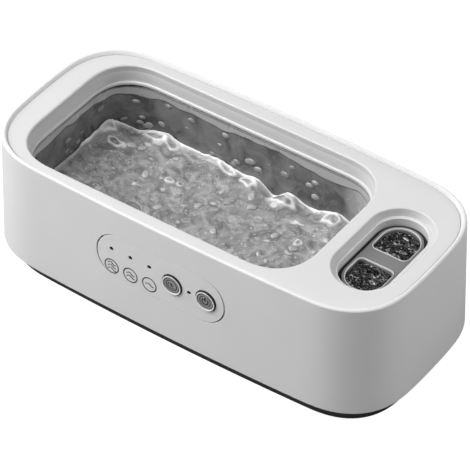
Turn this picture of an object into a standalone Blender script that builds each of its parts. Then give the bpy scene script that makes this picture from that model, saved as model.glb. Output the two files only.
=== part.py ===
"""Desktop ultrasonic cleaner: steel bath, lift-out lens cup, front control panel, driver board.

Metres, +Z up. The front, with the control panel, faces -Y, and the lens cup is at the +X end.
The origin is on the surface that the feet stand on, under the middle of the body.
Profiles are lists of (inset, z): how far inside a plan outline, and at what height.
"""

import math

import bmesh
import bpy
from mathutils import Vector

MM = 0.001

# Fits
GAP = 0.3 * MM                    # between two pieces that seat on each other
SMALL_GAP = 0.2 * MM              # round light pipes and board pins

# Body: sizes of the rim line, with corners squarer than a circle and sides that bow outwards
BODY_LENGTH = 208.0 * MM
BODY_WIDTH = 96.4 * MM
BODY_HEIGHT = 57.6 * MM           # the white body alone, lower edge to rim
BODY_CORNER = 33.4 * MM
BODY_POWER = 2.73
SIDE_BOW = 2.8 * MM
END_BOW = 2.95 * MM
DRAFT_SPREAD = 1.55 * MM          # the lower edge stands this much further out than the rim
WALL = 2.0 * MM
EDGE_ROUND = 0.5 * MM             # lower edge of the body

# Rim and deck
RIM_ROUND = 1.0 * MM
RIM_WIDTH = 2.2 * MM
RIM_STEP = 1.4 * MM               # from the rim down to the deck
DECK_THICKNESS = 2.2 * MM
SHELF_REACH = 2.2 * MM            # the ledge inside the body that carries the deck
SHELF_THICKNESS = 1.4 * MM

# Bath opening, at its narrowest under the rounded edge of the deck
BATH_CENTRE_X = -16.3 * MM
BATH_LENGTH = 147.4 * MM
BATH_WIDTH = 79.3 * MM
BATH_CORNER = 24.0 * MM
BATH_POWER = 2.5
BATH_EDGE_ROUND = 1.8 * MM
COLLAR_DEPTH = 9.4 * MM           # deck to the underside of the white collar
COLLAR_FOLD = 5.6 * MM            # depth at which the collar turns inwards
COLLAR_LIP = 1.6 * MM             # how far the collar's lower lip stands into the opening
COLLAR_FOOT = 2.4 * MM            # how far the collar's foot stands outside the opening

# Steel bath
BATH_DEPTH = 51.2 * MM            # deck to the steel floor
STEEL = 0.8 * MM
BATH_INSET = 1.2 * MM             # steel wall inside the opening, at its flange
BATH_TAPER = 1.0 * MM             # further inset at the foot of the wall
BATH_FLOOR_ROUND = 9.0 * MM
FLANGE_REACH = 2.2 * MM           # the flange outside the opening
GASKET = 1.2 * MM

# Lens cup and its recess, a capsule that lies along Y
CUP_CENTRE_X = 78.6 * MM
RECESS_WIDTH = 30.7 * MM
RECESS_LENGTH = 56.4 * MM
RECESS_EDGE_ROUND = 1.3 * MM
RECESS_SLOPE = 3.2 * MM           # how far the recess slopes in before it drops
RECESS_SLOPE_DEPTH = 4.2 * MM
RECESS_DEPTH = 8.6 * MM
CUP_INSET = 5.0 * MM              # edge of the lens cup inside the recess outline
CUP_TOP_DEPTH = 7.2 * MM
CUP_PLATE = 1.4 * MM
CUP_RIM = 0.5 * MM                # raised rim round each well
WELL_INSET = 6.5 * MM
WELL_DRAFT = 0.7 * MM
WELL_WALL = 0.9 * MM
WELL_DEPTH = 13.0 * MM
WELL_CORNER = 2.6 * MM
WELL_FLOOR_ROUND = 1.6 * MM
BRIDGE = 8.0 * MM                 # between the two wells
SOCKET_INSET = 6.0 * MM
SOCKET_WALL = 1.2 * MM
SOCKET_REACH = 1.8 * MM           # outer edge of the socket's flange, inside the recess outline
SEAL_HEIGHT = 1.0 * MM

# Plinth, feet and base screws
FOOT_STAND = 0.8 * MM             # foot below the plinth
PLINTH_HEIGHT = 8.6 * MM          # plinth that shows below the body
PLINTH_INSET = 5.0 * MM           # inside the lower edge of the body
PLINTH_WALL = 1.8 * MM
TRAY_FLOOR = 2.2 * MM
TRAY_FLANGE = 2.0 * MM
TRAY_LIFT = 0.4 * MM              # flange above the lower edge of the body
FOOT_RADIUS = 5.0 * MM
FOOT_POCKET = 1.0 * MM
FOOT_X = 71.0 * MM
FOOT_Y = 28.0 * MM
COLUMN_RADIUS = 2.8 * MM
COLUMN_INSET = 10.2 * MM          # from the lower edge of the body, at its corners
COLUMN_FOOT = 5.8 * MM
COLUMN_TOP = 17.5 * MM
RIB = 1.8 * MM

# Screws
SCREW_SHANK = 0.9 * MM
SCREW_HEAD = 2.0 * MM
SCREW_HEAD_HEIGHT = 1.3 * MM
BASE_SCREW_LENGTH = 9.0 * MM
CLAMP_SCREW_LENGTH = 6.0 * MM
BOARD_SCREW_LENGTH = 5.0 * MM
SCREW_WEB = 1.2 * MM              # plastic that a base screw's head pulls on

# Control panel, on the front wall
PANEL_CENTRE_X = -2.25 * MM
PANEL_LENGTH = 67.5 * MM
PANEL_HEIGHT = 24.0 * MM
PANEL_Z = 31.8 * MM               # middle of the panel above the lower edge of the body
PANEL_FLANGE = 1.0 * MM
PANEL_FLANGE_REACH = 2.2 * MM
BUTTON_RADIUS = 5.1 * MM
BUTTON_PROUD = 0.8 * MM
BUTTON_TRAVEL = 0.7 * MM
BUTTON_DISH = 0.35 * MM
BUTTON_EDGE = 0.5 * MM            # chamfer round the button's face
BUTTON_FLANGE_RADIUS = 5.9 * MM
BUTTON_FLANGE = 0.8 * MM
BUTTON_STEM_RADIUS = 1.5 * MM
POWER_X = 21.9 * MM
TIMER_X = 4.4 * MM
LENS_RADIUS = 0.75 * MM
LENS_LENGTH = 5.0 * MM
MODE_LIGHTS_X = (-28.0 * MM, -17.85 * MM, -7.7 * MM)
MODE_LIGHTS_RISE = 3.6 * MM       # above the middle of the panel
TIMER_LIGHT_X = 13.15 * MM

# Control board behind the panel
BOARD_BEHIND = 7.3 * MM           # front face of the panel to the front face of the board
BOARD_THICKNESS = 1.0 * MM
BOARD_LENGTH = 66.0 * MM
BOARD_HEIGHT = 18.0 * MM
SWITCH_SIDE = 5.6 * MM
SWITCH_HEIGHT = 2.1 * MM
PLUNGER_RADIUS = 1.3 * MM
PLUNGER_SHOWS = 0.9 * MM
PLUNGER_HOLD = 0.9 * MM           # inside its switch
POST_RADIUS = 1.6 * MM
PIN_RADIUS = 0.8 * MM
POST_X = 28.6 * MM                # from the middle of the panel
POST_Z = 6.6 * MM

# Bath clamps
CLAMP_LENGTH = 9.0 * MM
CLAMP_WIDTH = 6.0 * MM
CLAMP_THICKNESS = 1.0 * MM
CLAMP_BOSS_RADIUS = 2.6 * MM
CLAMP_OVERLAP = 1.4 * MM          # clamp under the flange
CLAMP_LEFT_Y = 15.0 * MM

# Transducers
BATH_DISC_RADIUS = 22.5 * MM
BATH_DISC = 3.0 * MM
CUP_DISC_RADIUS = 7.5 * MM
CUP_DISC = 2.0 * MM

# Driver board, in the tray at the +X end
MAIN_X = 78.5 * MM
MAIN_LENGTH = 33.0 * MM
MAIN_WIDTH = 54.0 * MM
MAIN_THICKNESS = 1.6 * MM
MAIN_LIFT = 4.5 * MM              # underside above the tray's floor
MAIN_POST_RADIUS = 2.4 * MM
MAIN_EDGE = 3.6 * MM              # posts inside the board's edges

# Power inlet in the rear wall
INLET_X = 66.0 * MM
INLET_RISE = 10.0 * MM            # above the lower edge of the body
INLET_RADIUS = 4.3 * MM
INLET_SHOULDER = 5.8 * MM
INLET_BORE = 3.1 * MM
INLET_LENGTH = 14.0 * MM
INLET_BORE_DEPTH = 9.5 * MM
INLET_SINK = 0.5 * MM             # nose inside the wall's outer face
PIN = 1.0 * MM
PIN_TAIL = 1.5 * MM               # pin behind the socket, where its lead is soldered

# Heights worked out from the sizes above
PLINTH_BOTTOM = FOOT_STAND
BODY_BOTTOM = PLINTH_BOTTOM + PLINTH_HEIGHT
RIM_TOP = BODY_BOTTOM + BODY_HEIGHT
DECK_TOP = RIM_TOP - RIM_STEP
DECK_UNDER = DECK_TOP - DECK_THICKNESS
TRAY_TOP = PLINTH_BOTTOM + TRAY_FLOOR
PANEL_MIDDLE = BODY_BOTTOM + PANEL_Z
COLLAR_UNDER = DECK_TOP - COLLAR_DEPTH
FLANGE_TOP = COLLAR_UNDER - 2 * GAP - GASKET
FLANGE_UNDER = FLANGE_TOP - STEEL
BATH_FLOOR = DECK_TOP - BATH_DEPTH
SOCKET_TOP = DECK_TOP - RECESS_DEPTH - GAP
WELL_FLOOR = DECK_TOP - CUP_TOP_DEPTH - WELL_DEPTH
SOCKET_FLOOR = WELL_FLOOR - WELL_WALL - GAP
MAIN_UNDER = TRAY_TOP + MAIN_LIFT
MAIN_TOP = MAIN_UNDER + MAIN_THICKNESS
LEAD_CLEAR = 1.2 * MM             # how far loose leads stay from what they cross
LEAD_END = 0.8 * MM               # how far a lead's end stays from what it is soldered to


class Outline:
    """A plan shape with four rounded corners. Its sides may bow outwards between them."""

    def __init__(self, centre_x, size_x, size_y, corner, power=2.0, bows=(0.0, 0.0), steps=(8, 1, 1)):
        self.centre_x = centre_x
        self.half_x = size_x / 2
        self.half_y = size_y / 2
        self.corner = corner
        self.bend = 2.0 / power
        self.bow_x, self.bow_y = bows
        self.corner_steps, *self.side_steps = steps

    def bowed(self, x, y, half_x, half_y):
        """The point with its side's bow, which is nothing at the middle of a side."""
        narrow_x = 1 - self.bow_x / half_x * (y / half_y) ** 2
        narrow_y = 1 - self.bow_y / half_y * (x / half_x) ** 2
        return self.centre_x + x * narrow_x, y * narrow_y

    def points(self, inset):
        """The outline, anticlockwise from the middle of +X, that far inside the full size."""
        half_x, half_y, radius = self.half_x - inset, self.half_y - inset, self.corner - inset
        found = []
        for quarter in range(4):
            sign_x = 1 if quarter in (0, 3) else -1
            sign_y = 1 if quarter in (0, 1) else -1
            for step in range(self.corner_steps + 1):
                angle = math.radians(90 * (quarter + step / self.corner_steps))
                cos, sin = math.cos(angle), math.sin(angle)
                x = sign_x * (half_x - radius + radius * abs(cos) ** self.bend)
                y = sign_y * (half_y - radius + radius * abs(sin) ** self.bend)
                found.append((x, y))
            along_x = quarter % 2 == 0
            straight = 2 * (half_x - radius if along_x else half_y - radius)
            if straight < GAP:
                found.pop()
                continue
            count = self.side_steps[0 if along_x else 1]
            for step in range(1, count):
                left = straight * (0.5 - step / count)
                if along_x:
                    found.append((sign_y * left, sign_y * half_y))
                else:
                    found.append((sign_x * half_x, -sign_x * left))
        return [self.bowed(x, y, half_x, half_y) for x, y in found]

    def front_y(self, x, inset):
        """Where the front side runs at this x, between the corners."""
        half_x, half_y = self.half_x - inset, self.half_y - inset
        return self.bowed(x - self.centre_x, -half_y, half_x, half_y)[1]

    def corner_point(self, inset, sign_x, sign_y):
        """The middle of a corner's curve."""
        half_x, half_y, radius = self.half_x - inset, self.half_y - inset, self.corner - inset
        reach = radius * (1 - math.sqrt(0.5) ** self.bend)
        return self.bowed(sign_x * (half_x - reach), sign_y * (half_y - reach), half_x, half_y)


class WellOutline:
    """A D in plan: half a circle at the outer end, a straight side along the bridge."""

    def __init__(self, side, radius, arc_y, flat_y, corner, steps=10):
        self.side = side
        self.radius, self.arc_y = radius, arc_y
        self.flat_y, self.corner = flat_y, corner
        self.steps = steps

    def points(self, inset):
        radius, corner = self.radius - inset, self.corner - inset
        corner_y = self.flat_y + inset + corner
        arcs = (
            (0.0, self.arc_y, radius, 0, 180, self.steps),
            (corner - radius, corner_y, corner, 180, 270, self.steps // 3),
            (radius - corner, corner_y, corner, 270, 360, self.steps // 3),
        )
        found = []
        for x, y, size, start, end, steps in arcs:
            for step in range(steps + 1):
                angle = math.radians(start + (end - start) * step / steps)
                found.append((CUP_CENTRE_X + x + size * math.cos(angle), y + size * math.sin(angle)))
        if self.side < 0:
            found = [(x, -y) for x, y in reversed(found)]
        return found


BODY = Outline(0.0, BODY_LENGTH, BODY_WIDTH, BODY_CORNER, BODY_POWER, (END_BOW, SIDE_BOW), (7, 6, 2))
BATH = Outline(BATH_CENTRE_X, BATH_LENGTH, BATH_WIDTH, BATH_CORNER, BATH_POWER, steps=(7, 1, 1))
RECESS = Outline(CUP_CENTRE_X, RECESS_WIDTH, RECESS_LENGTH, RECESS_WIDTH / 2, steps=(8, 1, 1))


def well(side):
    """The inner outline of one of the lens cup's two wells, at its rim."""
    radius = RECESS_WIDTH / 2 - WELL_INSET
    arc_y = (RECESS_LENGTH - RECESS_WIDTH) / 2
    return WellOutline(side, radius, arc_y, BRIDGE / 2, WELL_CORNER)


def body_face(z):
    """Inset of the body's drafted outer face at this height, from the rim line."""
    return -DRAFT_SPREAD * (RIM_TOP - z) / BODY_HEIGHT


def arc(inset, z, radius, start, end, steps=4):
    """Profile points on a round, angles in degrees from the inward direction."""
    found = []
    for step in range(steps + 1):
        angle = math.radians(start + (end - start) * step / steps)
        found.append((inset + radius * math.cos(angle), z + radius * math.sin(angle)))
    return found


def stitch(bm, first, second):
    """Quads between two rings with the same number of points."""
    for i in range(len(first)):
        bm.faces.new((first[i - 1], first[i], second[i], second[i - 1]))


def loft(bm, shape, profile, closed=False):
    """The rings of an outline at each (inset, z), joined one to the next."""
    rings = [[bm.verts.new((x, y, z)) for x, y in shape.points(inset)] for inset, z in profile]
    for first, second in zip(rings, rings[1:]):
        stitch(bm, first, second)
    if closed:
        stitch(bm, rings[-1], rings[0])
    return rings


def fill_between(bm, loops):
    """One flat face round its openings: the first loop is the edge, the others the openings."""
    edges = [bm.edges.get((loop[i - 1], loop[i])) for loop in loops for i in range(len(loop))]
    bmesh.ops.triangle_fill(bm, use_beauty=True, use_dissolve=False, edges=edges)


def new_object(name, mesh, material, location=(0, 0, 0), turn=(0, 0, 0)):
    """Links the mesh as an object with its finish, smooth except at real edges."""
    mesh.shade_smooth()
    mesh.set_sharp_from_angle(angle=math.radians(35))
    if material:
        mesh.materials.append(material)
    thing = bpy.data.objects.new(name, mesh)
    thing.location = location
    thing.rotation_euler = turn
    bpy.context.scene.collection.objects.link(thing)
    return thing


def from_bmesh(name, bm, material, location=(0, 0, 0), turn=(0, 0, 0)):
    bmesh.ops.recalc_face_normals(bm, faces=bm.faces)
    mesh = bpy.data.meshes.new(name)
    bm.to_mesh(mesh)
    bm.free()
    return new_object(name, mesh, material, location, turn)


def band(name, shape, profile, material):
    """A closed profile carried right round an outline."""
    bm = bmesh.new()
    loft(bm, shape, profile, closed=True)
    return from_bmesh(name, bm, material)


def vessel(name, shape, profile, material):
    """A profile carried round an outline, with a flat face across its first and last rings."""
    bm = bmesh.new()
    rings = loft(bm, shape, profile)
    bm.faces.new(rings[0])
    bm.faces.new(rings[-1])
    return from_bmesh(name, bm, material)


def turned(name, profile, material, location=(0, 0, 0), turn=(0, 0, 0), steps=20, bored=False):
    """A turned piece: (radius, height) points round local Z, open through its middle if bored."""
    bm = bmesh.new()
    rings = []
    for radius, height in profile:
        angles = [2 * math.pi * i / steps for i in range(steps)]
        rings.append([bm.verts.new((radius * math.cos(a), radius * math.sin(a), height)) for a in angles])
    for first, second in zip(rings, rings[1:]):
        stitch(bm, first, second)
    if bored:
        stitch(bm, rings[-1], rings[0])
    else:
        bm.faces.new(rings[0])
        bm.faces.new(rings[-1])
    return from_bmesh(name, bm, material, location, turn)


def block(name, size, material, location=(0, 0, 0), turn=(0, 0, 0), bevel=0.0):
    """A box round its own middle, with its edges bevelled where it is moulded or worn."""
    bm = bmesh.new()
    bmesh.ops.create_cube(bm, size=1.0)
    bmesh.ops.scale(bm, vec=size, verts=bm.verts)
    if bevel:
        bmesh.ops.bevel(bm, geom=bm.edges, offset=bevel, segments=1, affect="EDGES")
    return from_bmesh(name, bm, material, location, turn)


def boolean(target, tools, operation):
    """Cuts tools from target, or unites or intersects them with it, and removes the tools."""
    for tool in tools:
        step = target.modifiers.new("shape", "BOOLEAN")
        step.solver = "EXACT"
        step.operation = operation
        step.object = tool
        tool.hide_render = True
        tool.display_type = "WIRE"
    bpy.context.view_layer.update()
    evaluated = target.evaluated_get(bpy.context.evaluated_depsgraph_get())
    mesh = bpy.data.meshes.new_from_object(evaluated)
    old = target.data
    target.modifiers.clear()
    target.data = mesh
    bpy.data.meshes.remove(old)
    mesh.name = target.name
    for tool in tools:
        bpy.data.objects.remove(tool)


def rod(radius, low, high, location, turn=(0, 0, 0), steps=16):
    """A plain cylinder that adds to or cuts another piece."""
    return turned("rod", [(radius, low), (radius, high)], None, location, turn, steps)


FACING_FRONT = (math.radians(90), 0, 0)      # local Z points to -Y
FACING_REAR = (math.radians(-90), 0, 0)      # local Z points to +Y
UPSIDE_DOWN = (math.radians(180), 0, 0)


def finish(name, colour, roughness, metallic=0.0, alpha=1.0):
    """A Principled material of one colour."""
    made = bpy.data.materials.new(name)
    made.use_nodes = True
    shader = made.node_tree.nodes["Principled BSDF"]
    shader.inputs["Base Color"].default_value = (*colour, 1.0)
    shader.inputs["Roughness"].default_value = roughness
    shader.inputs["Metallic"].default_value = metallic
    shader.inputs["Alpha"].default_value = alpha
    return made


def screw(name, length, material, location, turn=(0, 0, 0)):
    """A pan-head screw, its head's underside at its origin and its shank along +Z."""
    head = [(SCREW_HEAD * 0.6, -SCREW_HEAD_HEIGHT), (SCREW_HEAD, -SCREW_HEAD_HEIGHT * 0.5), (SCREW_HEAD, 0.0)]
    shank = [(SCREW_SHANK, 0.0), (SCREW_SHANK, length - SCREW_SHANK), (SCREW_SHANK * 0.3, length)]
    return turned(name, head + shank, material, location, turn, steps=10)


def lead(name, points, radius, material):
    """A round insulated lead on a smooth route through its points."""
    curve = bpy.data.curves.new(name, "CURVE")
    curve.dimensions = "3D"
    curve.resolution_u = 3
    curve.bevel_depth = radius
    curve.bevel_resolution = 1
    curve.use_fill_caps = True
    spline = curve.splines.new("BEZIER")
    spline.bezier_points.add(len(points) - 1)
    for point, place in zip(spline.bezier_points, points):
        point.co = place
        point.handle_left_type = "AUTO"
        point.handle_right_type = "AUTO"
    curve.materials.append(material)
    thing = bpy.data.objects.new(name, curve)
    bpy.context.scene.collection.objects.link(thing)
    return thing


def base_corners(inside=COLUMN_INSET):
    """The four base screws' places, or points that far inside the lower edge at the same corners."""
    inset = body_face(BODY_BOTTOM) + inside
    return [BODY.corner_point(inset, sx, sy) for sx in (-1, 1) for sy in (-1, 1)]


def panel_prism(grow, y_from, y_to):
    """The panel's capsule, grown all round, as a prism that runs through the front wall."""
    shape = Outline(PANEL_CENTRE_X, PANEL_LENGTH + 2 * grow, PANEL_HEIGHT + 2 * grow,
                    PANEL_HEIGHT / 2 + grow, steps=(10, 1, 1))
    bm = bmesh.new()
    rings = loft(bm, shape, [(0.0, -y_to), (0.0, -y_from)])
    bm.faces.new(rings[0])
    bm.faces.new(rings[1])
    return from_bmesh("prism", bm, None, (0, 0, PANEL_MIDDLE), FACING_FRONT)


def front_face(x):
    """Y of the body's outer front face at the panel's middle height."""
    return BODY.front_y(x, body_face(PANEL_MIDDLE))


def rear_face(x, z):
    """Y of the body's outer rear face."""
    return -BODY.front_y(x, body_face(z))


def make_housing(white):
    """Drafted outer wall with its rolled rim, the shelf for the deck, and four screw columns."""
    low, high = body_face(BODY_BOTTOM), body_face(RIM_TOP - RIM_ROUND)
    shelf = DECK_UNDER - GAP
    shelf_end = RIM_WIDTH + SHELF_REACH
    under_shelf = shelf - SHELF_THICKNESS
    fade = under_shelf - SHELF_REACH
    profile = [(low + WALL, BODY_BOTTOM), (low + EDGE_ROUND, BODY_BOTTOM)]
    profile += arc(low + EDGE_ROUND, BODY_BOTTOM + EDGE_ROUND, EDGE_ROUND, 225, 180, 1)
    profile += arc(high + RIM_ROUND, RIM_TOP - RIM_ROUND, RIM_ROUND, 180, 90)
    profile += arc(RIM_WIDTH - 0.4 * MM, RIM_TOP - 0.4 * MM, 0.4 * MM, 90, 0, 2)
    profile += [(RIM_WIDTH, shelf), (shelf_end, shelf), (shelf_end, under_shelf)]
    profile += [(body_face(fade) + WALL, fade)]
    housing = band("outer_housing", BODY, profile, white)
    columns = []
    rib_low, rib_high = BODY_BOTTOM + 4.0 * MM, COLUMN_TOP - 1.0 * MM
    for column, wall in zip(base_corners(), base_corners(WALL / 2)):
        columns.append(rod(COLUMN_RADIUS, COLUMN_FOOT, COLUMN_TOP, (*column, 0)))
        out = Vector(wall) - Vector(column)
        middle = (*(Vector(column) + out / 2), (rib_low + rib_high) / 2)
        size = (out.length, RIB, rib_high - rib_low)
        columns.append(block("rib", size, None, middle, (0, 0, math.atan2(out.y, out.x))))
    boolean(housing, columns, "UNION")
    holes = [rod(SCREW_SHANK + SMALL_GAP, COLUMN_FOOT - MM, COLUMN_FOOT + BASE_SCREW_LENGTH, (x, y, 0))
             for x, y in base_corners()]
    inlet_z = BODY_BOTTOM + INLET_RISE
    holes.append(rod(INLET_RADIUS + GAP, -WALL * 2.5, WALL, (INLET_X, rear_face(INLET_X, inlet_z), inlet_z),
                     FACING_REAR, 20))
    holes.append(panel_prism(GAP, front_face(0) - WALL, front_face(0) + WALL * 2.5))
    boolean(housing, holes, "DIFFERENCE")


def clamp_places():
    """For each bath clamp: where its screw goes, and which way it points to the bath."""
    reach = FLANGE_REACH + CLAMP_LENGTH / 2 - CLAMP_OVERLAP
    left = BATH_CENTRE_X - BATH_LENGTH / 2 - reach
    found = [((left, side * CLAMP_LEFT_Y), 0.0) for side in (-1, 1)]
    for side in (-1, 1):
        x, y = BATH.corner_point(-reach, 1, side)
        found.append(((x, y), math.atan2(-side, -1)))
    return found


def make_deck(white):
    """The flat deck: bath collar, sloping recess for the lens cup, four clamp bosses."""
    bm = bmesh.new()
    edge = loft(bm, BODY, [(RIM_WIDTH + GAP, DECK_TOP), (RIM_WIDTH + GAP, DECK_UNDER)])
    collar = arc(-BATH_EDGE_ROUND, DECK_TOP - BATH_EDGE_ROUND, BATH_EDGE_ROUND, 90, 0)
    collar += [(0.1 * MM, DECK_TOP - COLLAR_FOLD), (COLLAR_LIP - 0.6 * MM, COLLAR_UNDER + 1.4 * MM)]
    collar += arc(COLLAR_LIP - 0.5 * MM, COLLAR_UNDER + 0.5 * MM, 0.5 * MM, 60, -90, 3)
    collar += [(-COLLAR_FOOT, COLLAR_UNDER), (-COLLAR_FOOT, COLLAR_UNDER + 1.6 * MM)]
    collar += [(-BATH_EDGE_ROUND, COLLAR_UNDER + 2.6 * MM), (-BATH_EDGE_ROUND, DECK_UNDER)]
    recess = arc(-RECESS_EDGE_ROUND, DECK_TOP - RECESS_EDGE_ROUND, RECESS_EDGE_ROUND, 90, 0)
    recess += [(RECESS_SLOPE - 0.4 * MM, DECK_TOP - RECESS_SLOPE_DEPTH + 0.3 * MM)]
    recess += [(RECESS_SLOPE, DECK_TOP - RECESS_SLOPE_DEPTH)]
    recess += [(RECESS_SLOPE + 0.2 * MM, DECK_TOP - RECESS_DEPTH)]
    recess += [(SOCKET_REACH, DECK_TOP - RECESS_DEPTH)]
    recess += [(SOCKET_REACH, DECK_TOP - RECESS_SLOPE_DEPTH - 1.6 * MM)]
    recess += [(-RECESS_EDGE_ROUND, DECK_UNDER - MM), (-RECESS_EDGE_ROUND, DECK_UNDER)]
    bath_rings = loft(bm, BATH, collar)
    recess_rings = loft(bm, RECESS, recess)
    fill_between(bm, [edge[0], bath_rings[0], recess_rings[0]])
    fill_between(bm, [edge[-1], bath_rings[-1], recess_rings[-1]])
    deck = from_bmesh("top_deck", bm, white)
    bosses, holes = [], []
    for (x, y), _ in clamp_places():
        bosses.append(rod(CLAMP_BOSS_RADIUS, FLANGE_UNDER, DECK_UNDER + MM, (x, y, 0)))
        holes.append(rod(SCREW_SHANK + SMALL_GAP, FLANGE_UNDER - MM, FLANGE_UNDER + CLAMP_SCREW_LENGTH,
                         (x, y, 0)))
    boolean(deck, bosses, "UNION")
    boolean(deck, holes, "DIFFERENCE")


def make_bath(steel, silicone):
    """Drawn steel bath hung by its flange, and the gasket between flange and collar."""
    foot = BATH_INSET + BATH_TAPER
    inner_round = arc(foot + BATH_FLOOR_ROUND, BATH_FLOOR + BATH_FLOOR_ROUND, BATH_FLOOR_ROUND, 270, 180, 5)
    outer_round = arc(foot + BATH_FLOOR_ROUND, BATH_FLOOR + BATH_FLOOR_ROUND, BATH_FLOOR_ROUND + STEEL,
                      180, 270, 5)
    profile = inner_round
    profile += arc(BATH_INSET - STEEL, FLANGE_TOP - STEEL, STEEL, 0, 90, 2)
    profile += [(-FLANGE_REACH, FLANGE_TOP), (-FLANGE_REACH, FLANGE_UNDER)]
    profile += [(BATH_INSET - STEEL, FLANGE_UNDER)]
    profile += outer_round
    vessel("bath_liner", BATH, profile, steel)
    top, under = COLLAR_UNDER - GAP, COLLAR_UNDER - GAP - GASKET
    inner, outer = COLLAR_LIP - 0.2 * MM, -FLANGE_REACH + 0.3 * MM
    band("bath_gasket", BATH, [(inner, top), (inner, under), (outer, under), (outer, top)], silicone)


def make_clamps(steel, screw_steel):
    """Plates that pull the bath's flange up to the deck, each with one screw."""
    for number, ((x, y), angle) in enumerate(clamp_places(), 1):
        plate_z = FLANGE_UNDER - GAP - CLAMP_THICKNESS / 2
        plate = block(f"bath_clamp_{number}", (CLAMP_LENGTH, CLAMP_WIDTH, CLAMP_THICKNESS), steel,
                      (x, y, plate_z), (0, 0, angle), 0.2 * MM)
        boolean(plate, [rod(SCREW_SHANK + GAP, -MM, MM, (x, y, plate_z))], "DIFFERENCE")
        head_z = plate_z - CLAMP_THICKNESS / 2 - GAP
        screw(f"clamp_screw_{number}", CLAMP_SCREW_LENGTH, screw_steel, (x, y, head_z))


def make_lens_cup(grey):
    """Lift-out tray with two D-shaped wells hanging from one plate. Its origin is on its lift axis."""
    top, under = DECK_TOP - CUP_TOP_DEPTH, DECK_TOP - CUP_TOP_DEPTH - CUP_PLATE
    bm = bmesh.new()
    edge = loft(bm, RECESS, [(CUP_INSET + 0.3 * MM, top), (CUP_INSET, top - 0.3 * MM), (CUP_INSET, under)])
    inside, outside = [edge[0]], [edge[-1]]
    for side in (-1, 1):
        shape = well(side)
        pocket = [(-CUP_RIM, top), (-CUP_RIM, top + 0.3 * MM), (0.0, top + 0.3 * MM)]
        pocket += arc(WELL_DRAFT + WELL_FLOOR_ROUND, WELL_FLOOR + WELL_FLOOR_ROUND,
                      WELL_FLOOR_ROUND, 180, 270, 3)
        hull = [(WELL_DRAFT - WELL_WALL, under)]
        hull += arc(WELL_DRAFT + WELL_FLOOR_ROUND, WELL_FLOOR + WELL_FLOOR_ROUND,
                    WELL_FLOOR_ROUND + WELL_WALL, 180, 270, 3)
        inner, outer = loft(bm, shape, pocket), loft(bm, shape, hull)
        bm.faces.new(inner[-1])
        bm.faces.new(outer[-1])
        inside.append(inner[0])
        outside.append(outer[0])
    fill_between(bm, inside)
    fill_between(bm, outside)
    cup = from_bmesh("lens_cup", bm, grey)
    axis = Vector((CUP_CENTRE_X, 0, top))
    for vertex in cup.data.vertices:
        vertex.co -= axis
    cup.location = axis


def make_socket(black, silicone, ceramic):
    """The pan that the lens cup hangs in, the seal round its mouth, and its transducer."""
    inner = [(SOCKET_INSET + 2 * MM, SOCKET_FLOOR), (SOCKET_INSET, SOCKET_FLOOR + 2 * MM)]
    inner += [(SOCKET_INSET, SOCKET_TOP), (SOCKET_REACH, SOCKET_TOP)]
    inner += [(SOCKET_REACH, SOCKET_TOP - SOCKET_WALL)]
    outer_inset = SOCKET_INSET - SOCKET_WALL
    outer = [(outer_inset, SOCKET_TOP - SOCKET_WALL), (outer_inset, SOCKET_FLOOR + 1.5 * MM)]
    outer += [(SOCKET_INSET + 1.5 * MM, SOCKET_FLOOR - SOCKET_WALL)]
    vessel("cup_socket", RECESS, inner + outer, black)
    low, high = SOCKET_TOP + GAP, SOCKET_TOP + GAP + SEAL_HEIGHT
    wall, cup = RECESS_SLOPE + 0.2 * MM + GAP, CUP_INSET - GAP
    band("cup_seal", RECESS, [(wall, low), (cup, low), (cup, high), (wall, high)], silicone)
    disc_top = SOCKET_FLOOR - SOCKET_WALL - GAP
    turned("cup_transducer", [(CUP_DISC_RADIUS, -CUP_DISC), (CUP_DISC_RADIUS, 0.0)], ceramic,
           (CUP_CENTRE_X, 0, disc_top), steps=24)


def make_panel(white):
    """Flush control panel: a capsule of the front wall on a wider flange, bored for what it carries."""
    low, high = BODY_BOTTOM + EDGE_ROUND, DECK_UNDER
    back = WALL + GAP + PANEL_FLANGE

    def front_band(name, depth_from, depth_to):
        profile = [(body_face(z) + depth, z)
                   for z, depth in ((low, depth_from), (high, depth_from), (high, depth_to), (low, depth_to))]
        return band(name, BODY, profile, white)

    panel = front_band("control_panel", 0.0, back)
    boolean(panel, [panel_prism(0.0, front_face(0) - 5 * MM, 0.0)], "INTERSECT")
    flange = front_band("flange", WALL + GAP, back)
    boolean(flange, [panel_prism(PANEL_FLANGE_REACH, front_face(0) - 5 * MM, 0.0)], "INTERSECT")
    flange_back = front_face(PANEL_CENTRE_X) + back
    board_y = front_face(0) + BOARD_BEHIND
    posts = []
    for sx in (-1, 1):
        for sz in (-1, 1):
            place = (PANEL_CENTRE_X + sx * POST_X, 0, PANEL_MIDDLE + sz * POST_Z)
            stepped = [(POST_RADIUS, flange_back - 0.5 * MM), (POST_RADIUS, board_y - GAP),
                       (PIN_RADIUS, board_y - GAP), (PIN_RADIUS, board_y + BOARD_THICKNESS + 0.4 * MM)]
            posts.append(turned("post", stepped, None, place, FACING_REAR, 12))
    boolean(panel, [flange] + posts, "UNION")
    bores = []
    for x in (POWER_X, TIMER_X):
        place = (x, 0, PANEL_MIDDLE)
        face = front_face(x)
        shoulder = face + WALL - GAP
        profile = [(BUTTON_RADIUS + GAP, face - MM), (BUTTON_RADIUS + GAP, shoulder),
                   (BUTTON_FLANGE_RADIUS + GAP, shoulder), (BUTTON_FLANGE_RADIUS + GAP, face + back + MM)]
        bores.append(turned("bore", profile, None, place, FACING_REAR, 24))
    for x, z in light_places():
        bores.append(rod(LENS_RADIUS + SMALL_GAP, front_face(x) - MM, front_face(x) + back + MM, (x, 0, z),
                         FACING_REAR, 12))
    boolean(panel, bores, "DIFFERENCE")


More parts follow.
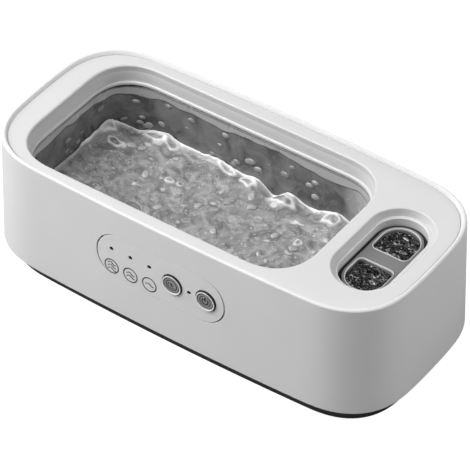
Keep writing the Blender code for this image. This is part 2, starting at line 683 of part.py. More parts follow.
def light_places():
    """The four indicator lights, (x, z): one over each mode mark, and one between the buttons."""
    found = [(x, PANEL_MIDDLE + MODE_LIGHTS_RISE) for x in MODE_LIGHTS_X]
    return found + [(TIMER_LIGHT_X, PANEL_MIDDLE)]


def make_buttons(dark, black):
    """Push buttons with a dished face, their switches, and the plungers that they press."""
    board_y = front_face(0) + BOARD_BEHIND
    for label, x in (("power", POWER_X), ("timer", TIMER_X)):
        face = front_face(x)
        switch_front = board_y - GAP - SWITCH_HEIGHT
        plunger_front = switch_front - PLUNGER_SHOWS
        top = -BUTTON_PROUD
        flange_back = WALL + BUTTON_FLANGE
        profile = [(BUTTON_RADIUS * 0.55, top + BUTTON_DISH), (BUTTON_RADIUS * 0.8, top + BUTTON_DISH * 0.6)]
        profile += [(BUTTON_RADIUS - BUTTON_EDGE, top), (BUTTON_RADIUS, top + BUTTON_EDGE)]
        profile += [(BUTTON_RADIUS, WALL), (BUTTON_FLANGE_RADIUS, WALL)]
        profile += [(BUTTON_FLANGE_RADIUS, flange_back), (BUTTON_STEM_RADIUS, flange_back)]
        profile += [(BUTTON_STEM_RADIUS, plunger_front - GAP - face)]
        turned(f"{label}_button", profile, dark, (x, face, PANEL_MIDDLE), FACING_REAR, 24)
        turned(f"{label}_plunger",
               [(PLUNGER_RADIUS, 0.0), (PLUNGER_RADIUS, PLUNGER_SHOWS + PLUNGER_HOLD)], black,
               (x, plunger_front, PANEL_MIDDLE), FACING_REAR, 12)
        switch = block(f"{label}_switch", (SWITCH_SIDE, SWITCH_HEIGHT, SWITCH_SIDE), black,
                       (x, switch_front + SWITCH_HEIGHT / 2, PANEL_MIDDLE), bevel=0.2 * MM)
        bore = rod(PLUNGER_RADIUS + SMALL_GAP, -MM, PLUNGER_HOLD + BUTTON_TRAVEL + SMALL_GAP,
                   (x, switch_front, PANEL_MIDDLE), FACING_REAR, 12)
        boolean(switch, [bore], "DIFFERENCE")


def make_lights(clear, glow):
    """Light pipes through the panel, and the lamp behind each one on the control board."""
    board_y = front_face(0) + BOARD_BEHIND
    lamp = (2.0 * MM, 0.8 * MM, 1.25 * MM)
    for number, (x, z) in enumerate(light_places(), 1):
        turned(f"indicator_lens_{number}", [(LENS_RADIUS, 0.1 * MM), (LENS_RADIUS, LENS_LENGTH)], clear,
               (x, front_face(x), z), FACING_REAR, 12)
        block(f"indicator_lamp_{number}", lamp, glow, (x, board_y - GAP - lamp[1] / 2, z))


def make_control_board(green, black):
    """The board behind the panel, on the panel's four posts, with its one large chip."""
    board_y = front_face(0) + BOARD_BEHIND
    board = block("control_board", (BOARD_LENGTH, BOARD_THICKNESS, BOARD_HEIGHT), green,
                  (PANEL_CENTRE_X, board_y + BOARD_THICKNESS / 2, PANEL_MIDDLE))
    holes = [rod(PIN_RADIUS + SMALL_GAP, board_y - MM, board_y + BOARD_THICKNESS + MM,
                 (PANEL_CENTRE_X + sx * POST_X, 0, PANEL_MIDDLE + sz * POST_Z), FACING_REAR, 12)
             for sx in (-1, 1) for sz in (-1, 1)]
    boolean(board, holes, "DIFFERENCE")
    chip = (7.0 * MM, 1.2 * MM, 5.0 * MM)
    chip_x, chip_z = MODE_LIGHTS_X[1], PANEL_MIDDLE - MODE_LIGHTS_RISE
    block("control_chip", chip, black, (chip_x, board_y - GAP - chip[1] / 2, chip_z), bevel=0.15 * MM)


def make_tray(dark):
    """Base tray: the plinth that shows under the body, a flange that closes the body, board posts."""
    low = body_face(BODY_BOTTOM)
    outer, inner = low + PLINTH_INSET, low + PLINTH_INSET + PLINTH_WALL
    rim = low + WALL + GAP
    flange_low = BODY_BOTTOM + TRAY_LIFT
    profile = arc(inner + MM, TRAY_TOP + MM, MM, 270, 180, 2)
    profile += [(inner, flange_low + TRAY_FLANGE), (rim, flange_low + TRAY_FLANGE), (rim, flange_low)]
    profile += [(outer, flange_low)]
    profile += arc(outer + MM, PLINTH_BOTTOM + MM, MM, 180, 270, 2)
    tray = vessel("base_tray", BODY, profile, dark)
    posts = [rod(MAIN_POST_RADIUS, TRAY_TOP - MM, MAIN_UNDER - GAP, (x, y, 0)) for x, y in board_posts()]
    ledge = COLUMN_FOOT - GAP
    posts += [rod(COLUMN_RADIUS + MM, TRAY_TOP - MM, ledge, (x, y, 0), steps=20) for x, y in base_corners()]
    boolean(tray, posts, "UNION")
    cuts = [rod(SCREW_SHANK + SMALL_GAP, TRAY_TOP - MM / 2, MAIN_UNDER + MM, (x, y, 0), steps=12)
            for x, y in board_posts()]
    for x, y in base_corners():
        head = ledge - SCREW_WEB
        stepped = [(SCREW_HEAD + GAP, PLINTH_BOTTOM - MM), (SCREW_HEAD + GAP, head),
                   (SCREW_SHANK + GAP, head), (SCREW_SHANK + GAP, ledge + MM)]
        cuts.append(turned("sink", stepped, None, (x, y, 0), steps=12))
    cuts += [rod(FOOT_RADIUS + GAP, PLINTH_BOTTOM - MM, PLINTH_BOTTOM + FOOT_POCKET, (x, y, 0), steps=24)
             for x, y in foot_places()]
    boolean(tray, cuts, "DIFFERENCE")


def board_posts():
    """Two screwed posts under the driver board, at opposite corners."""
    dx, dy = MAIN_LENGTH / 2 - MAIN_EDGE, MAIN_WIDTH / 2 - MAIN_EDGE
    return [(MAIN_X + dx, dy), (MAIN_X - dx, -dy)]


def foot_places():
    return [(sx * FOOT_X, sy * FOOT_Y) for sx in (-1, 1) for sy in (-1, 1)]


def make_feet(rubber):
    """Stick-in rubber feet with a rounded lower edge."""
    height = FOOT_STAND + FOOT_POCKET - GAP
    profile = [(FOOT_RADIUS - 0.5 * MM, 0.0), (FOOT_RADIUS, 0.4 * MM), (FOOT_RADIUS, height)]
    for number, (x, y) in enumerate(foot_places(), 1):
        turned(f"foot_{number}", profile, rubber, (x, y, 0), steps=24)


def make_base_screws(screw_steel):
    """Screws that close the body from below."""
    head = COLUMN_FOOT - GAP - SCREW_WEB - GAP
    for number, (x, y) in enumerate(base_corners(), 1):
        screw(f"base_screw_{number}", BASE_SCREW_LENGTH, screw_steel, (x, y, head))


def make_bath_transducer(ceramic):
    """The disc that drives the bath, bonded under the middle of its floor."""
    top = BATH_FLOOR - STEEL - GAP
    turned("bath_transducer", [(BATH_DISC_RADIUS, -BATH_DISC), (BATH_DISC_RADIUS, 0.0)], ceramic,
           (BATH_CENTRE_X, 0, top), steps=32)


def make_main_board(green, screw_steel):
    """The driver board and its two screws."""
    board = block("main_board", (MAIN_LENGTH, MAIN_WIDTH, MAIN_THICKNESS), green,
                  (MAIN_X, 0, MAIN_UNDER + MAIN_THICKNESS / 2))
    holes = [rod(SCREW_SHANK + GAP, MAIN_UNDER - MM, MAIN_TOP + MM, (x, y, 0), steps=12)
             for x, y in board_posts()]
    boolean(board, holes, "DIFFERENCE")
    for number, (x, y) in enumerate(board_posts(), 1):
        screw(f"board_screw_{number}", BOARD_SCREW_LENGTH, screw_steel, (x, y, MAIN_TOP + GAP), UPSIDE_DOWN)


def make_driver_parts(ferrite, copper, sleeve, aluminium, black):
    """What stands on the driver board: transformer, capacitors, coil, heat sink and transistor."""
    base = MAIN_TOP + GAP
    core_x, core_y = MAIN_X - 5.0 * MM, 12.0 * MM
    core, window = (18.0 * MM, 14.0 * MM, 16.0 * MM), (12.0 * MM, 15.0 * MM, 10.0 * MM)
    core_z = base + core[2] / 2
    frame = block("transformer_core", core, ferrite, (core_x, core_y, core_z))
    boolean(frame, [block("window", window, None, (core_x, core_y, core_z))], "DIFFERENCE")
    coil = (window[0] - 2 * GAP, core[1] + 5.0 * MM, window[2] - 2 * GAP)
    block("transformer_coil", coil, copper, (core_x, core_y, core_z), bevel=1.5 * MM)
    can = [(1.0, 0.0), (1.0, 0.1), (0.93, 0.13), (1.0, 0.16), (1.0, 0.97), (0.94, 1.0)]
    for label, radius, height, x, y in (
        ("storage_capacitor", 5.0 * MM, 16.0 * MM, MAIN_X + 9.0 * MM, 15.0 * MM),
        ("filter_capacitor", 3.2 * MM, 11.0 * MM, MAIN_X + 10.0 * MM, 2.0 * MM),
    ):
        turned(label, [(radius * r, height * h) for r, h in can], sleeve, (x, y, base), steps=20)
    ring, wire = 4.2 * MM, 2.0 * MM
    profile = [(ring + wire * math.cos(a), wire + wire * math.sin(a))
               for a in (2 * math.pi * i / 8 for i in range(8))]
    turned("tuning_coil", profile, copper, (MAIN_X - 7.0 * MM, -5.0 * MM, base), steps=16, bored=True)
    sink_x, sink_y = MAIN_X + 2.0 * MM, -20.0 * MM
    sink = block("heat_sink", (20.0 * MM, 6.0 * MM, 17.0 * MM), aluminium, (sink_x, sink_y, base + 8.5 * MM))
    slots = [block("slot", (1.6 * MM, 5.0 * MM, 19.0 * MM), None,
                   (sink_x + (i - 2.5) * 3.2 * MM, sink_y - 2.2 * MM, base + 8.5 * MM)) for i in range(6)]
    boolean(sink, slots, "DIFFERENCE")
    block("driver_transistor", (10.0 * MM, 4.4 * MM, 12.0 * MM), black,
          (sink_x, sink_y + 3.0 * MM + GAP + 2.2 * MM, base + 8.0 * MM), bevel=0.4 * MM)


def make_inlet(black, brass):
    """Low-voltage power socket in the rear wall, and the pin in its bore."""
    z = BODY_BOTTOM + INLET_RISE
    face = rear_face(INLET_X, z)
    shoulder = INLET_SINK + WALL + GAP + 0.4 * MM
    profile = [(INLET_BORE, 0.0), (INLET_BORE, INLET_BORE_DEPTH), (PIN + SMALL_GAP, INLET_BORE_DEPTH),
               (PIN + SMALL_GAP, INLET_LENGTH), (INLET_RADIUS, INLET_LENGTH),
               (INLET_RADIUS, shoulder + 2 * MM), (INLET_SHOULDER, shoulder + 2 * MM),
               (INLET_SHOULDER, shoulder), (INLET_RADIUS, shoulder), (INLET_RADIUS, 0.0)]
    turned("power_inlet", profile, black, (INLET_X, face - INLET_SINK, z), FACING_FRONT, 20, bored=True)
    turned("inlet_pin", [(PIN * 0.6, 1.2 * MM), (PIN, 1.8 * MM), (PIN, INLET_LENGTH + PIN_TAIL)], brass,
           (INLET_X, face - INLET_SINK, z), FACING_FRONT, 12)


def make_leads(red, grey):
    """Leads inside the body, each ending just short of what it is soldered to."""
    thin, thick = 0.7 * MM, 0.9 * MM
    low = TRAY_TOP + LEAD_CLEAR + thick
    solder = MAIN_TOP + LEAD_END
    board_left = MAIN_X - MAIN_LENGTH / 2
    disc_under = BATH_FLOOR - STEEL - GAP - BATH_DISC - LEAD_END
    lead("transducer_lead", [
        (BATH_CENTRE_X, 0, disc_under), (BATH_CENTRE_X + 4 * MM, 0, low + MM),
        (BATH_CENTRE_X + 20 * MM, -2 * MM, low), (board_left - 20 * MM, -4 * MM, low),
        (board_left - 4 * MM, -3 * MM, MAIN_UNDER), (board_left - 2 * MM, -2 * MM, MAIN_TOP + 4 * MM),
        (board_left + 2.5 * MM, -1 * MM, solder),
    ], thin, red)
    socket_under = SOCKET_FLOOR - SOCKET_WALL - GAP - CUP_DISC - LEAD_END
    lead("cup_transducer_lead", [
        (CUP_CENTRE_X, 0, socket_under), (CUP_CENTRE_X - 3 * MM, 0, socket_under - 3 * MM),
        (board_left + 1.5 * MM, 0, MAIN_TOP + 14 * MM), (board_left + 2.5 * MM, 2 * MM, solder),
    ], thin, red)
    inlet_z = BODY_BOTTOM + INLET_RISE
    inlet_y = rear_face(INLET_X, inlet_z) - INLET_SINK - INLET_LENGTH - PIN_TAIL - LEAD_END
    lead("inlet_lead", [
        (INLET_X, inlet_y, inlet_z), (INLET_X, inlet_y - 3 * MM, inlet_z - MM),
        (INLET_X, inlet_y - 6 * MM, MAIN_TOP + 4 * MM), (INLET_X, MAIN_WIDTH / 2 - 3 * MM, solder),
    ], thick, red)
    board_end = PANEL_CENTRE_X + BOARD_LENGTH / 2
    board_y = front_face(0) + BOARD_BEHIND + BOARD_THICKNESS / 2
    lead("control_lead", [
        (board_end + LEAD_END, board_y, PANEL_MIDDLE), (board_end + 8 * MM, board_y, PANEL_MIDDLE - 2 * MM),
        (board_end + 24 * MM, board_y + MM, PANEL_MIDDLE - 12 * MM),
        (MAIN_X - 6 * MM, board_y + 8 * MM, MAIN_TOP + 8 * MM),
        (MAIN_X - 4 * MM, -MAIN_WIDTH / 2 + 2 * MM, solder),
    ], thick, grey)


def main():
    for old in list(bpy.data.objects):
        bpy.data.objects.remove(old)
    white = finish("white_plastic", (0.72, 0.72, 0.73), 0.42)
    steel = finish("stainless_steel", (0.42, 0.42, 0.43), 0.28, 1.0)
    screw_steel = finish("screw_steel", (0.5, 0.5, 0.52), 0.35, 1.0)
    grey = finish("grey_cup_plastic", (0.22, 0.23, 0.23), 0.35)
    dark = finish("dark_button_metal", (0.10, 0.10, 0.105), 0.35, 0.6)
    base = finish("dark_base_plastic", (0.025, 0.025, 0.027), 0.55)
    black = finish("black_plastic", (0.012, 0.012, 0.013), 0.4)
    silicone = finish("black_silicone", (0.01, 0.01, 0.01), 0.6)
    rubber = finish("foot_rubber", (0.02, 0.02, 0.02), 0.8)
    ceramic = finish("piezo_ceramic", (0.55, 0.5, 0.42), 0.5)
    green = finish("circuit_board", (0.02, 0.12, 0.05), 0.4)
    clear = finish("smoked_light_pipe", (0.02, 0.02, 0.022), 0.15)
    glow = finish("lamp_resin", (0.7, 0.65, 0.4), 0.3)
    copper = finish("copper_winding", (0.5, 0.2, 0.08), 0.35, 1.0)
    ferrite = finish("ferrite", (0.03, 0.03, 0.03), 0.7)
    sleeve = finish("capacitor_sleeve", (0.03, 0.05, 0.15), 0.35)
    aluminium = finish("aluminium", (0.6, 0.6, 0.62), 0.35, 1.0)
    brass = finish("brass", (0.6, 0.42, 0.16), 0.3, 1.0)
    red = finish("lead_sleeve_red", (0.4, 0.02, 0.02), 0.5)
    lead_grey = finish("lead_sleeve_grey", (0.25, 0.25, 0.25), 0.5)
    make_housing(white)
    make_deck(white)
    make_bath(steel, silicone)
    make_clamps(steel, screw_steel)
    make_lens_cup(grey)
    make_socket(black, silicone, ceramic)
    make_panel(white)
    make_buttons(dark, black)
    make_lights(clear, glow)
    make_control_board(green, black)
    make_tray(base)
    make_feet(rubber)
    make_base_screws(screw_steel)
    make_bath_transducer(ceramic)
    make_main_board(green, screw_steel)
    make_driver_parts(ferrite, copper, sleeve, aluminium, black)
    make_inlet(black, brass)
    make_leads(red, lead_grey)


main()
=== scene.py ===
"""Looks for the desktop ultrasonic cleaner: moulded shell, steel bath with churning water,
divided lens cup, turned push buttons, printed marks, base tray, and the fittings inside.

Metres, +Z up, the panel faces -Y. Plan outlines are carried round profiles of (inset, height).
"""

import math

import bmesh
import bpy
import numpy as np
from mathutils import Matrix, Vector, noise


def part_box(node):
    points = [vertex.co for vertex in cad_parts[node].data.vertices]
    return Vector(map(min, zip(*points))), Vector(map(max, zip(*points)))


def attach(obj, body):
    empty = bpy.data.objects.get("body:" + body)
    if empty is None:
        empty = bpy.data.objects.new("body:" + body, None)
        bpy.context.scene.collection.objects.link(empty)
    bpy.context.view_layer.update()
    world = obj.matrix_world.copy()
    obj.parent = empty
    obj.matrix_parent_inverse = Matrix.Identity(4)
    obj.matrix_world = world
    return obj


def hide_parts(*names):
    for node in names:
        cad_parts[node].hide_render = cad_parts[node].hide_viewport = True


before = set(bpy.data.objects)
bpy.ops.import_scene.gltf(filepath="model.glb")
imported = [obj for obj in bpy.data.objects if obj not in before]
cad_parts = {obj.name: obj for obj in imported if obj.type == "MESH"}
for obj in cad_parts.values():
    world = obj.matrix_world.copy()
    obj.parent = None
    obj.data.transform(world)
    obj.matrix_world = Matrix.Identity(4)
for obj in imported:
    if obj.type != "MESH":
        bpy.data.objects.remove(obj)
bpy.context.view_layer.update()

MM = 0.001
GAP = 0.3 * MM


def in_mm(*rows):
    """Rows of millimetres, as metres."""
    return [tuple(value * MM for value in row) for row in rows]


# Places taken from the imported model
housing_high, deck_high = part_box("outer_housing")[1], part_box("top_deck")[1]
liner_low, liner_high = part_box("bath_liner")
cup_low, cup_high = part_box("lens_cup")
tray_low, tray_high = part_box("base_tray")
gasket_low, gasket_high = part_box("bath_gasket")
seal_low, seal_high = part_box("cup_seal")

# Moulded body
BODY_HEIGHT = 57.6 * MM
BODY_CORNER = 33.4 * MM
BODY_POWER = 2.73
SIDE_BOW, END_BOW = 2.8 * MM, 2.95 * MM
DRAFT_SPREAD = 1.55 * MM
WALL = 2.0 * MM
EDGE_ROUND = 0.5 * MM
RIM_TOP = housing_high.z
BODY_BOTTOM = RIM_TOP - BODY_HEIGHT
RIM_ROUND = 1.0 * MM
RIM_WIDTH = 2.2 * MM
DECK_TOP = deck_high.z
DECK_THICKNESS = 2.2 * MM
DECK_UNDER = DECK_TOP - DECK_THICKNESS
SHELF_REACH, SHELF_THICKNESS = 2.2 * MM, 1.4 * MM

# Bath opening and steel bath
BATH_CENTRE_X = (liner_low.x + liner_high.x) / 2
BATH_FLANGE = 2.2 * MM
BATH_HALF_X = (liner_high.x - liner_low.x) / 2 - BATH_FLANGE
BATH_HALF_Y = (liner_high.y - liner_low.y) / 2 - BATH_FLANGE
BATH_CORNER = 24.0 * MM
BATH_POWER = 2.5
BATH_EDGE_ROUND = 1.8 * MM
COLLAR_UNDER = DECK_TOP - 9.4 * MM
COLLAR_FOLD = DECK_TOP - 5.6 * MM
COLLAR_LIP = 1.6 * MM
COLLAR_LEAN = 0.4 * MM
LIP_UNDER = COLLAR_UNDER - 0.8 * MM
STEEL = 0.8 * MM
BATH_INSET = 1.2 * MM
BATH_TAPER = 1.0 * MM
BATH_FLOOR_ROUND = 9.0 * MM
FLANGE_TOP = liner_high.z
BATH_FLOOR = liner_low.z + STEEL
TIDE_LINE = 51.0 * MM

# Lens cup
CUP_CENTRE_X = (cup_low.x + cup_high.x) / 2
RECESS_HALF_X, RECESS_HALF_Y = 15.35 * MM, 28.2 * MM
RECESS_EDGE_ROUND = 1.3 * MM
RECESS_SLOPE, RECESS_SLOPE_DEPTH = 3.2 * MM, 4.2 * MM
RECESS_DEPTH = 8.6 * MM
RECESS_LEAN = 0.9 * MM               # both openings are wider towards the front and the right
SOCKET_REACH = 1.8 * MM
CUP_INSET = 5.0 * MM
CUP_PLATE = 1.4 * MM
CUP_RIM = 0.5 * MM
CUP_TOP = cup_high.z - 0.3 * MM
WELL_INSET = 6.5 * MM
WELL_DRAFT, WELL_WALL = 0.7 * MM, 0.9 * MM
WELL_FLOOR = cup_low.z + WELL_WALL
WELL_CORNER, WELL_FLOOR_ROUND = 2.6 * MM, 1.6 * MM
BRIDGE = 8.0 * MM
WELL_WATER = 1.1 * MM                # water below the top of the cup

# Panel
PANEL_CENTRE_X = -2.25 * MM
PANEL_HALF_X, PANEL_HALF_Z = 33.75 * MM, 12.0 * MM
PANEL_Z = BODY_BOTTOM + 31.8 * MM
BUTTON_RADIUS = 5.1 * MM
MARK_DROP = 6.3 * MM                 # printed mode marks below the middle of the panel
MARK_RADIUS = 3.6 * MM
MARK_LINE, MARK_WAVE_LINE, MARK_WAVE_PITCH = 0.58 * MM, 0.6 * MM, 1.62 * MM
LIGHT_BORE = 1.05 * MM

# Base
PLINTH_INSET, PLINTH_WALL = 5.0 * MM, 1.8 * MM
PLINTH_BOTTOM = tray_low.z
TRAY_TOP = PLINTH_BOTTOM + 2.2 * MM


# ---- shapes

class Plan:
    """A plan shape with four rounded corners, whose sides may bow outwards."""

    def __init__(self, centre_x, half_x, half_y, corner, power=2.0, bows=(0.0, 0.0), steps=(18, 26, 12)):
        self.centre_x, self.half_x, self.half_y = centre_x, half_x, half_y
        self.corner, self.bend = corner, 2.0 / power
        self.bow_x, self.bow_y = bows
        self.corner_steps, *self.side_steps = steps

    def bowed(self, x, y, half_x, half_y):
        return (self.centre_x + x * (1 - self.bow_x / half_x * (y / half_y) ** 2),
                y * (1 - self.bow_y / half_y * (x / half_x) ** 2))

    def points(self, inset):
        """Anticlockwise from the middle of +X, that far inside the full size."""
        half_x, half_y, radius = self.half_x - inset, self.half_y - inset, self.corner - inset
        found = []
        for quarter in range(4):
            sign_x = 1 if quarter in (0, 3) else -1
            sign_y = 1 if quarter in (0, 1) else -1
            for step in range(self.corner_steps + 1):
                angle = math.radians(90 * (quarter + step / self.corner_steps))
                reach_x = radius * abs(math.cos(angle)) ** self.bend
                reach_y = radius * abs(math.sin(angle)) ** self.bend
                found.append((sign_x * (half_x - radius + reach_x), sign_y * (half_y - radius + reach_y)))
            along_x = quarter % 2 == 0
            straight = 2 * (half_x - radius if along_x else half_y - radius)
            if straight < GAP:
                found.pop()
                continue
            count = self.side_steps[0 if along_x else 1]
            for step in range(1, count):
                left = straight * (0.5 - step / count)
                found.append((sign_y * left, sign_y * half_y) if along_x else (sign_x * half_x, -sign_x * left))
        return [self.bowed(x, y, half_x, half_y) for x, y in found]

    def front_y(self, x, inset):
        """Where the front side runs at this x."""
        half_x, half_y = self.half_x - inset, self.half_y - inset
        before_bow = (x - self.centre_x) / (1 - self.bow_x / half_x)
        return self.bowed(before_bow, -half_y, half_x, half_y)[1]


class WellPlan:
    """A D in plan: half a circle outside, a straight side along the bridge."""

    def __init__(self, side, steps=28):
        self.side, self.steps = side, steps
        self.radius = RECESS_HALF_X - WELL_INSET
        self.arc_y = RECESS_HALF_Y - RECESS_HALF_X

    def points(self, inset):
        radius, corner = self.radius - inset, WELL_CORNER - inset
        corner_y = BRIDGE / 2 + inset + corner
        arcs = (
            (0.0, self.arc_y, radius, 0, 180, self.steps),
            (corner - radius, corner_y, corner, 180, 270, self.steps // 4),
            (radius - corner, corner_y, corner, 270, 360, self.steps // 4),
        )
        found = []
        for x, y, size, start, end, steps in arcs:
            for step in range(steps + 1):
                angle = math.radians(start + (end - start) * step / steps)
                found.append((CUP_CENTRE_X + x + size * math.cos(angle), y + size * math.sin(angle)))
        return found if self.side > 0 else [(x, -y) for x, y in reversed(found)]


BODY = Plan(0.0, housing_high.x - DRAFT_SPREAD, housing_high.y - DRAFT_SPREAD,
            BODY_CORNER, BODY_POWER, (END_BOW, SIDE_BOW))
BATH = Plan(BATH_CENTRE_X, BATH_HALF_X, BATH_HALF_Y, BATH_CORNER, BATH_POWER, steps=(20, 24, 8))
RECESS = Plan(CUP_CENTRE_X, RECESS_HALF_X, RECESS_HALF_Y, RECESS_HALF_X, steps=(20, 1, 8))


def body_face(z):
    """Inset of the drafted outer face at this height."""
    return -DRAFT_SPREAD * (RIM_TOP - z) / BODY_HEIGHT


def front_face(x, z):
    """Y of the front of the body."""
    return BODY.front_y(x, body_face(z))


def arc(inset, z, radius, start, end, steps=8):
    """Profile points on a round, angles in degrees from the inward direction."""
    found = []
    for step in range(steps + 1):
        angle = math.radians(start + (end - start) * step / steps)
        found.append((inset + radius * math.cos(angle), z + radius * math.sin(angle)))
    return found


def stitch(bm, first, second):
    """Faces from one ring of vertices to the next."""
    for i in range(len(first)):
        bm.faces.new((first[i - 1], first[i], second[i], second[i - 1]))


def skin(bm, rings, closed=False, capped=False):
    """Rings joined one to the next, and the last to the first or a face on each end."""
    for first, second in zip(rings, rings[1:]):
        stitch(bm, first, second)
    if closed:
        stitch(bm, rings[-1], rings[0])
    if capped:
        bm.faces.new(rings[0])
        bm.faces.new(rings[-1])


def loft(bm, plan, profile, closed=False, capped=False):
    """The plan's rings at each (inset, z), with a skin over them."""
    rings = [[bm.verts.new((x, y, z)) for x, y in plan.points(inset)] for inset, z in profile]
    skin(bm, rings, closed, capped)
    return rings


def fill_between(bm, loops):
    """A flat face round its openings: the first loop is the edge, the others the openings."""
    edges = [bm.edges.get((loop[i - 1], loop[i])) for loop in loops for i in range(len(loop))]
    bmesh.ops.triangle_fill(bm, use_beauty=True, use_dissolve=False, edges=edges)


def show(name, data):
    """An object at the origin of the scene."""
    shown = bpy.data.objects.new(name, data)
    bpy.context.scene.collection.objects.link(shown)
    return shown


def link(name, mesh, sharp=32):
    """A piece that is smooth except at real edges."""
    mesh.shade_smooth()
    mesh.set_sharp_from_angle(angle=math.radians(sharp))
    return show(name, mesh)


def mesh_of(name, bm):
    """The bmesh as plain mesh; the bmesh is freed."""
    mesh = bpy.data.meshes.new(name)
    bm.to_mesh(mesh)
    bm.free()
    return mesh


def from_bmesh(name, bm, sharp=32):
    bmesh.ops.recalc_face_normals(bm, faces=bm.faces)
    return link(name, mesh_of(name, bm), sharp)


def extent(name):
    """A node's low and high corner, and its middle."""
    low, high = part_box(name)
    return low, high, (low + high) / 2


def band(name, plan, profile):
    """A closed profile carried right round a plan."""
    bm = bmesh.new()
    loft(bm, plan, profile, closed=True)
    return from_bmesh(name, bm)


def vessel(name, plan, profile):
    """A profile carried round a plan, closed by a flat face at each end."""
    bm = bmesh.new()
    loft(bm, plan, profile, capped=True)
    return from_bmesh(name, bm)


TO_FRONT = Matrix.Rotation(math.radians(90), 4, "X")     # local Z points to -Y
TO_REAR = Matrix.Rotation(math.radians(-90), 4, "X")     # local Z points to +Y
UPWARD = Matrix.Identity(4)


def turned(name, profile, place, facing=UPWARD, steps=48, bored=False):
    """A turned piece: (radius, height) round its own axis, made in its place."""
    bm = bmesh.new()
    turn = Matrix.Translation(place) @ facing
    rings = []
    for radius, height in profile:
        angles = [2 * math.pi * i / steps for i in range(steps)]
        rings.append([bm.verts.new(turn @ Vector((radius * math.cos(a), radius * math.sin(a), height)))
                      for a in angles])
    skin(bm, rings, bored, not bored)
    return from_bmesh(name, bm)


def settle(piece):
    """Turns the piece's modifiers into plain mesh."""
    bpy.context.view_layer.update()
    graph = bpy.context.evaluated_depsgraph_get()
    mesh = bpy.data.meshes.new_from_object(piece.evaluated_get(graph), depsgraph=graph)
    old = piece.data
    piece.modifiers.clear()
    piece.data = mesh
    if old.users == 0:
        bpy.data.meshes.remove(old)
    mesh.name = piece.name
    return piece


def boolean(piece, tools, operation):
    """Cuts tools from the piece, or unites or intersects them with it, and removes the tools."""
    for tool in tools:
        step = piece.modifiers.new("shape", "BOOLEAN")
        step.solver = "EXACT"
        step.operation = operation
        step.object = tool
        tool.hide_render = True
    settle(piece)
    for tool in tools:
        bpy.data.objects.remove(tool)
    piece.data.set_sharp_from_angle(angle=math.radians(35))
    return piece


def even_shading(piece):
    """Normals that follow the large faces, so flats stay flat next to their rounds."""
    step = piece.modifiers.new("even", "WEIGHTED_NORMAL")
    step.keep_sharp = True
    return settle(piece)


def front_capsule(name, grow_x, grow_z, y_from, y_to):
    """The panel's outline as a prism that runs through the front wall."""
    half_z = PANEL_HALF_Z + grow_z
    plan = Plan(PANEL_CENTRE_X, PANEL_HALF_X + grow_x, half_z, half_z, steps=(20, 1, 1))
    bm = bmesh.new()
    loft(bm, plan, [(0.0, -y_to), (0.0, -y_from)], capped=True)
    bm.transform(Matrix.Translation((0, 0, PANEL_Z)) @ TO_FRONT)
    return from_bmesh(name, bm)


# ---- finishes

def feed(tree, socket, source):
    """Joins a source to a socket, or sets the socket's own value."""
    if isinstance(source, bpy.types.NodeSocket):
        tree.links.new(source, socket)
    else:
        socket.default_value = source


def add_node(tree, kind, links, settings):
    """A node with its settings, and its inputs fed by name or place."""
    made = tree.nodes.new(kind)
    for key, value in settings.items():
        setattr(made, key, value)
    for socket, source in dict(links).items():
        feed(tree, made.inputs[socket], source)
    return made


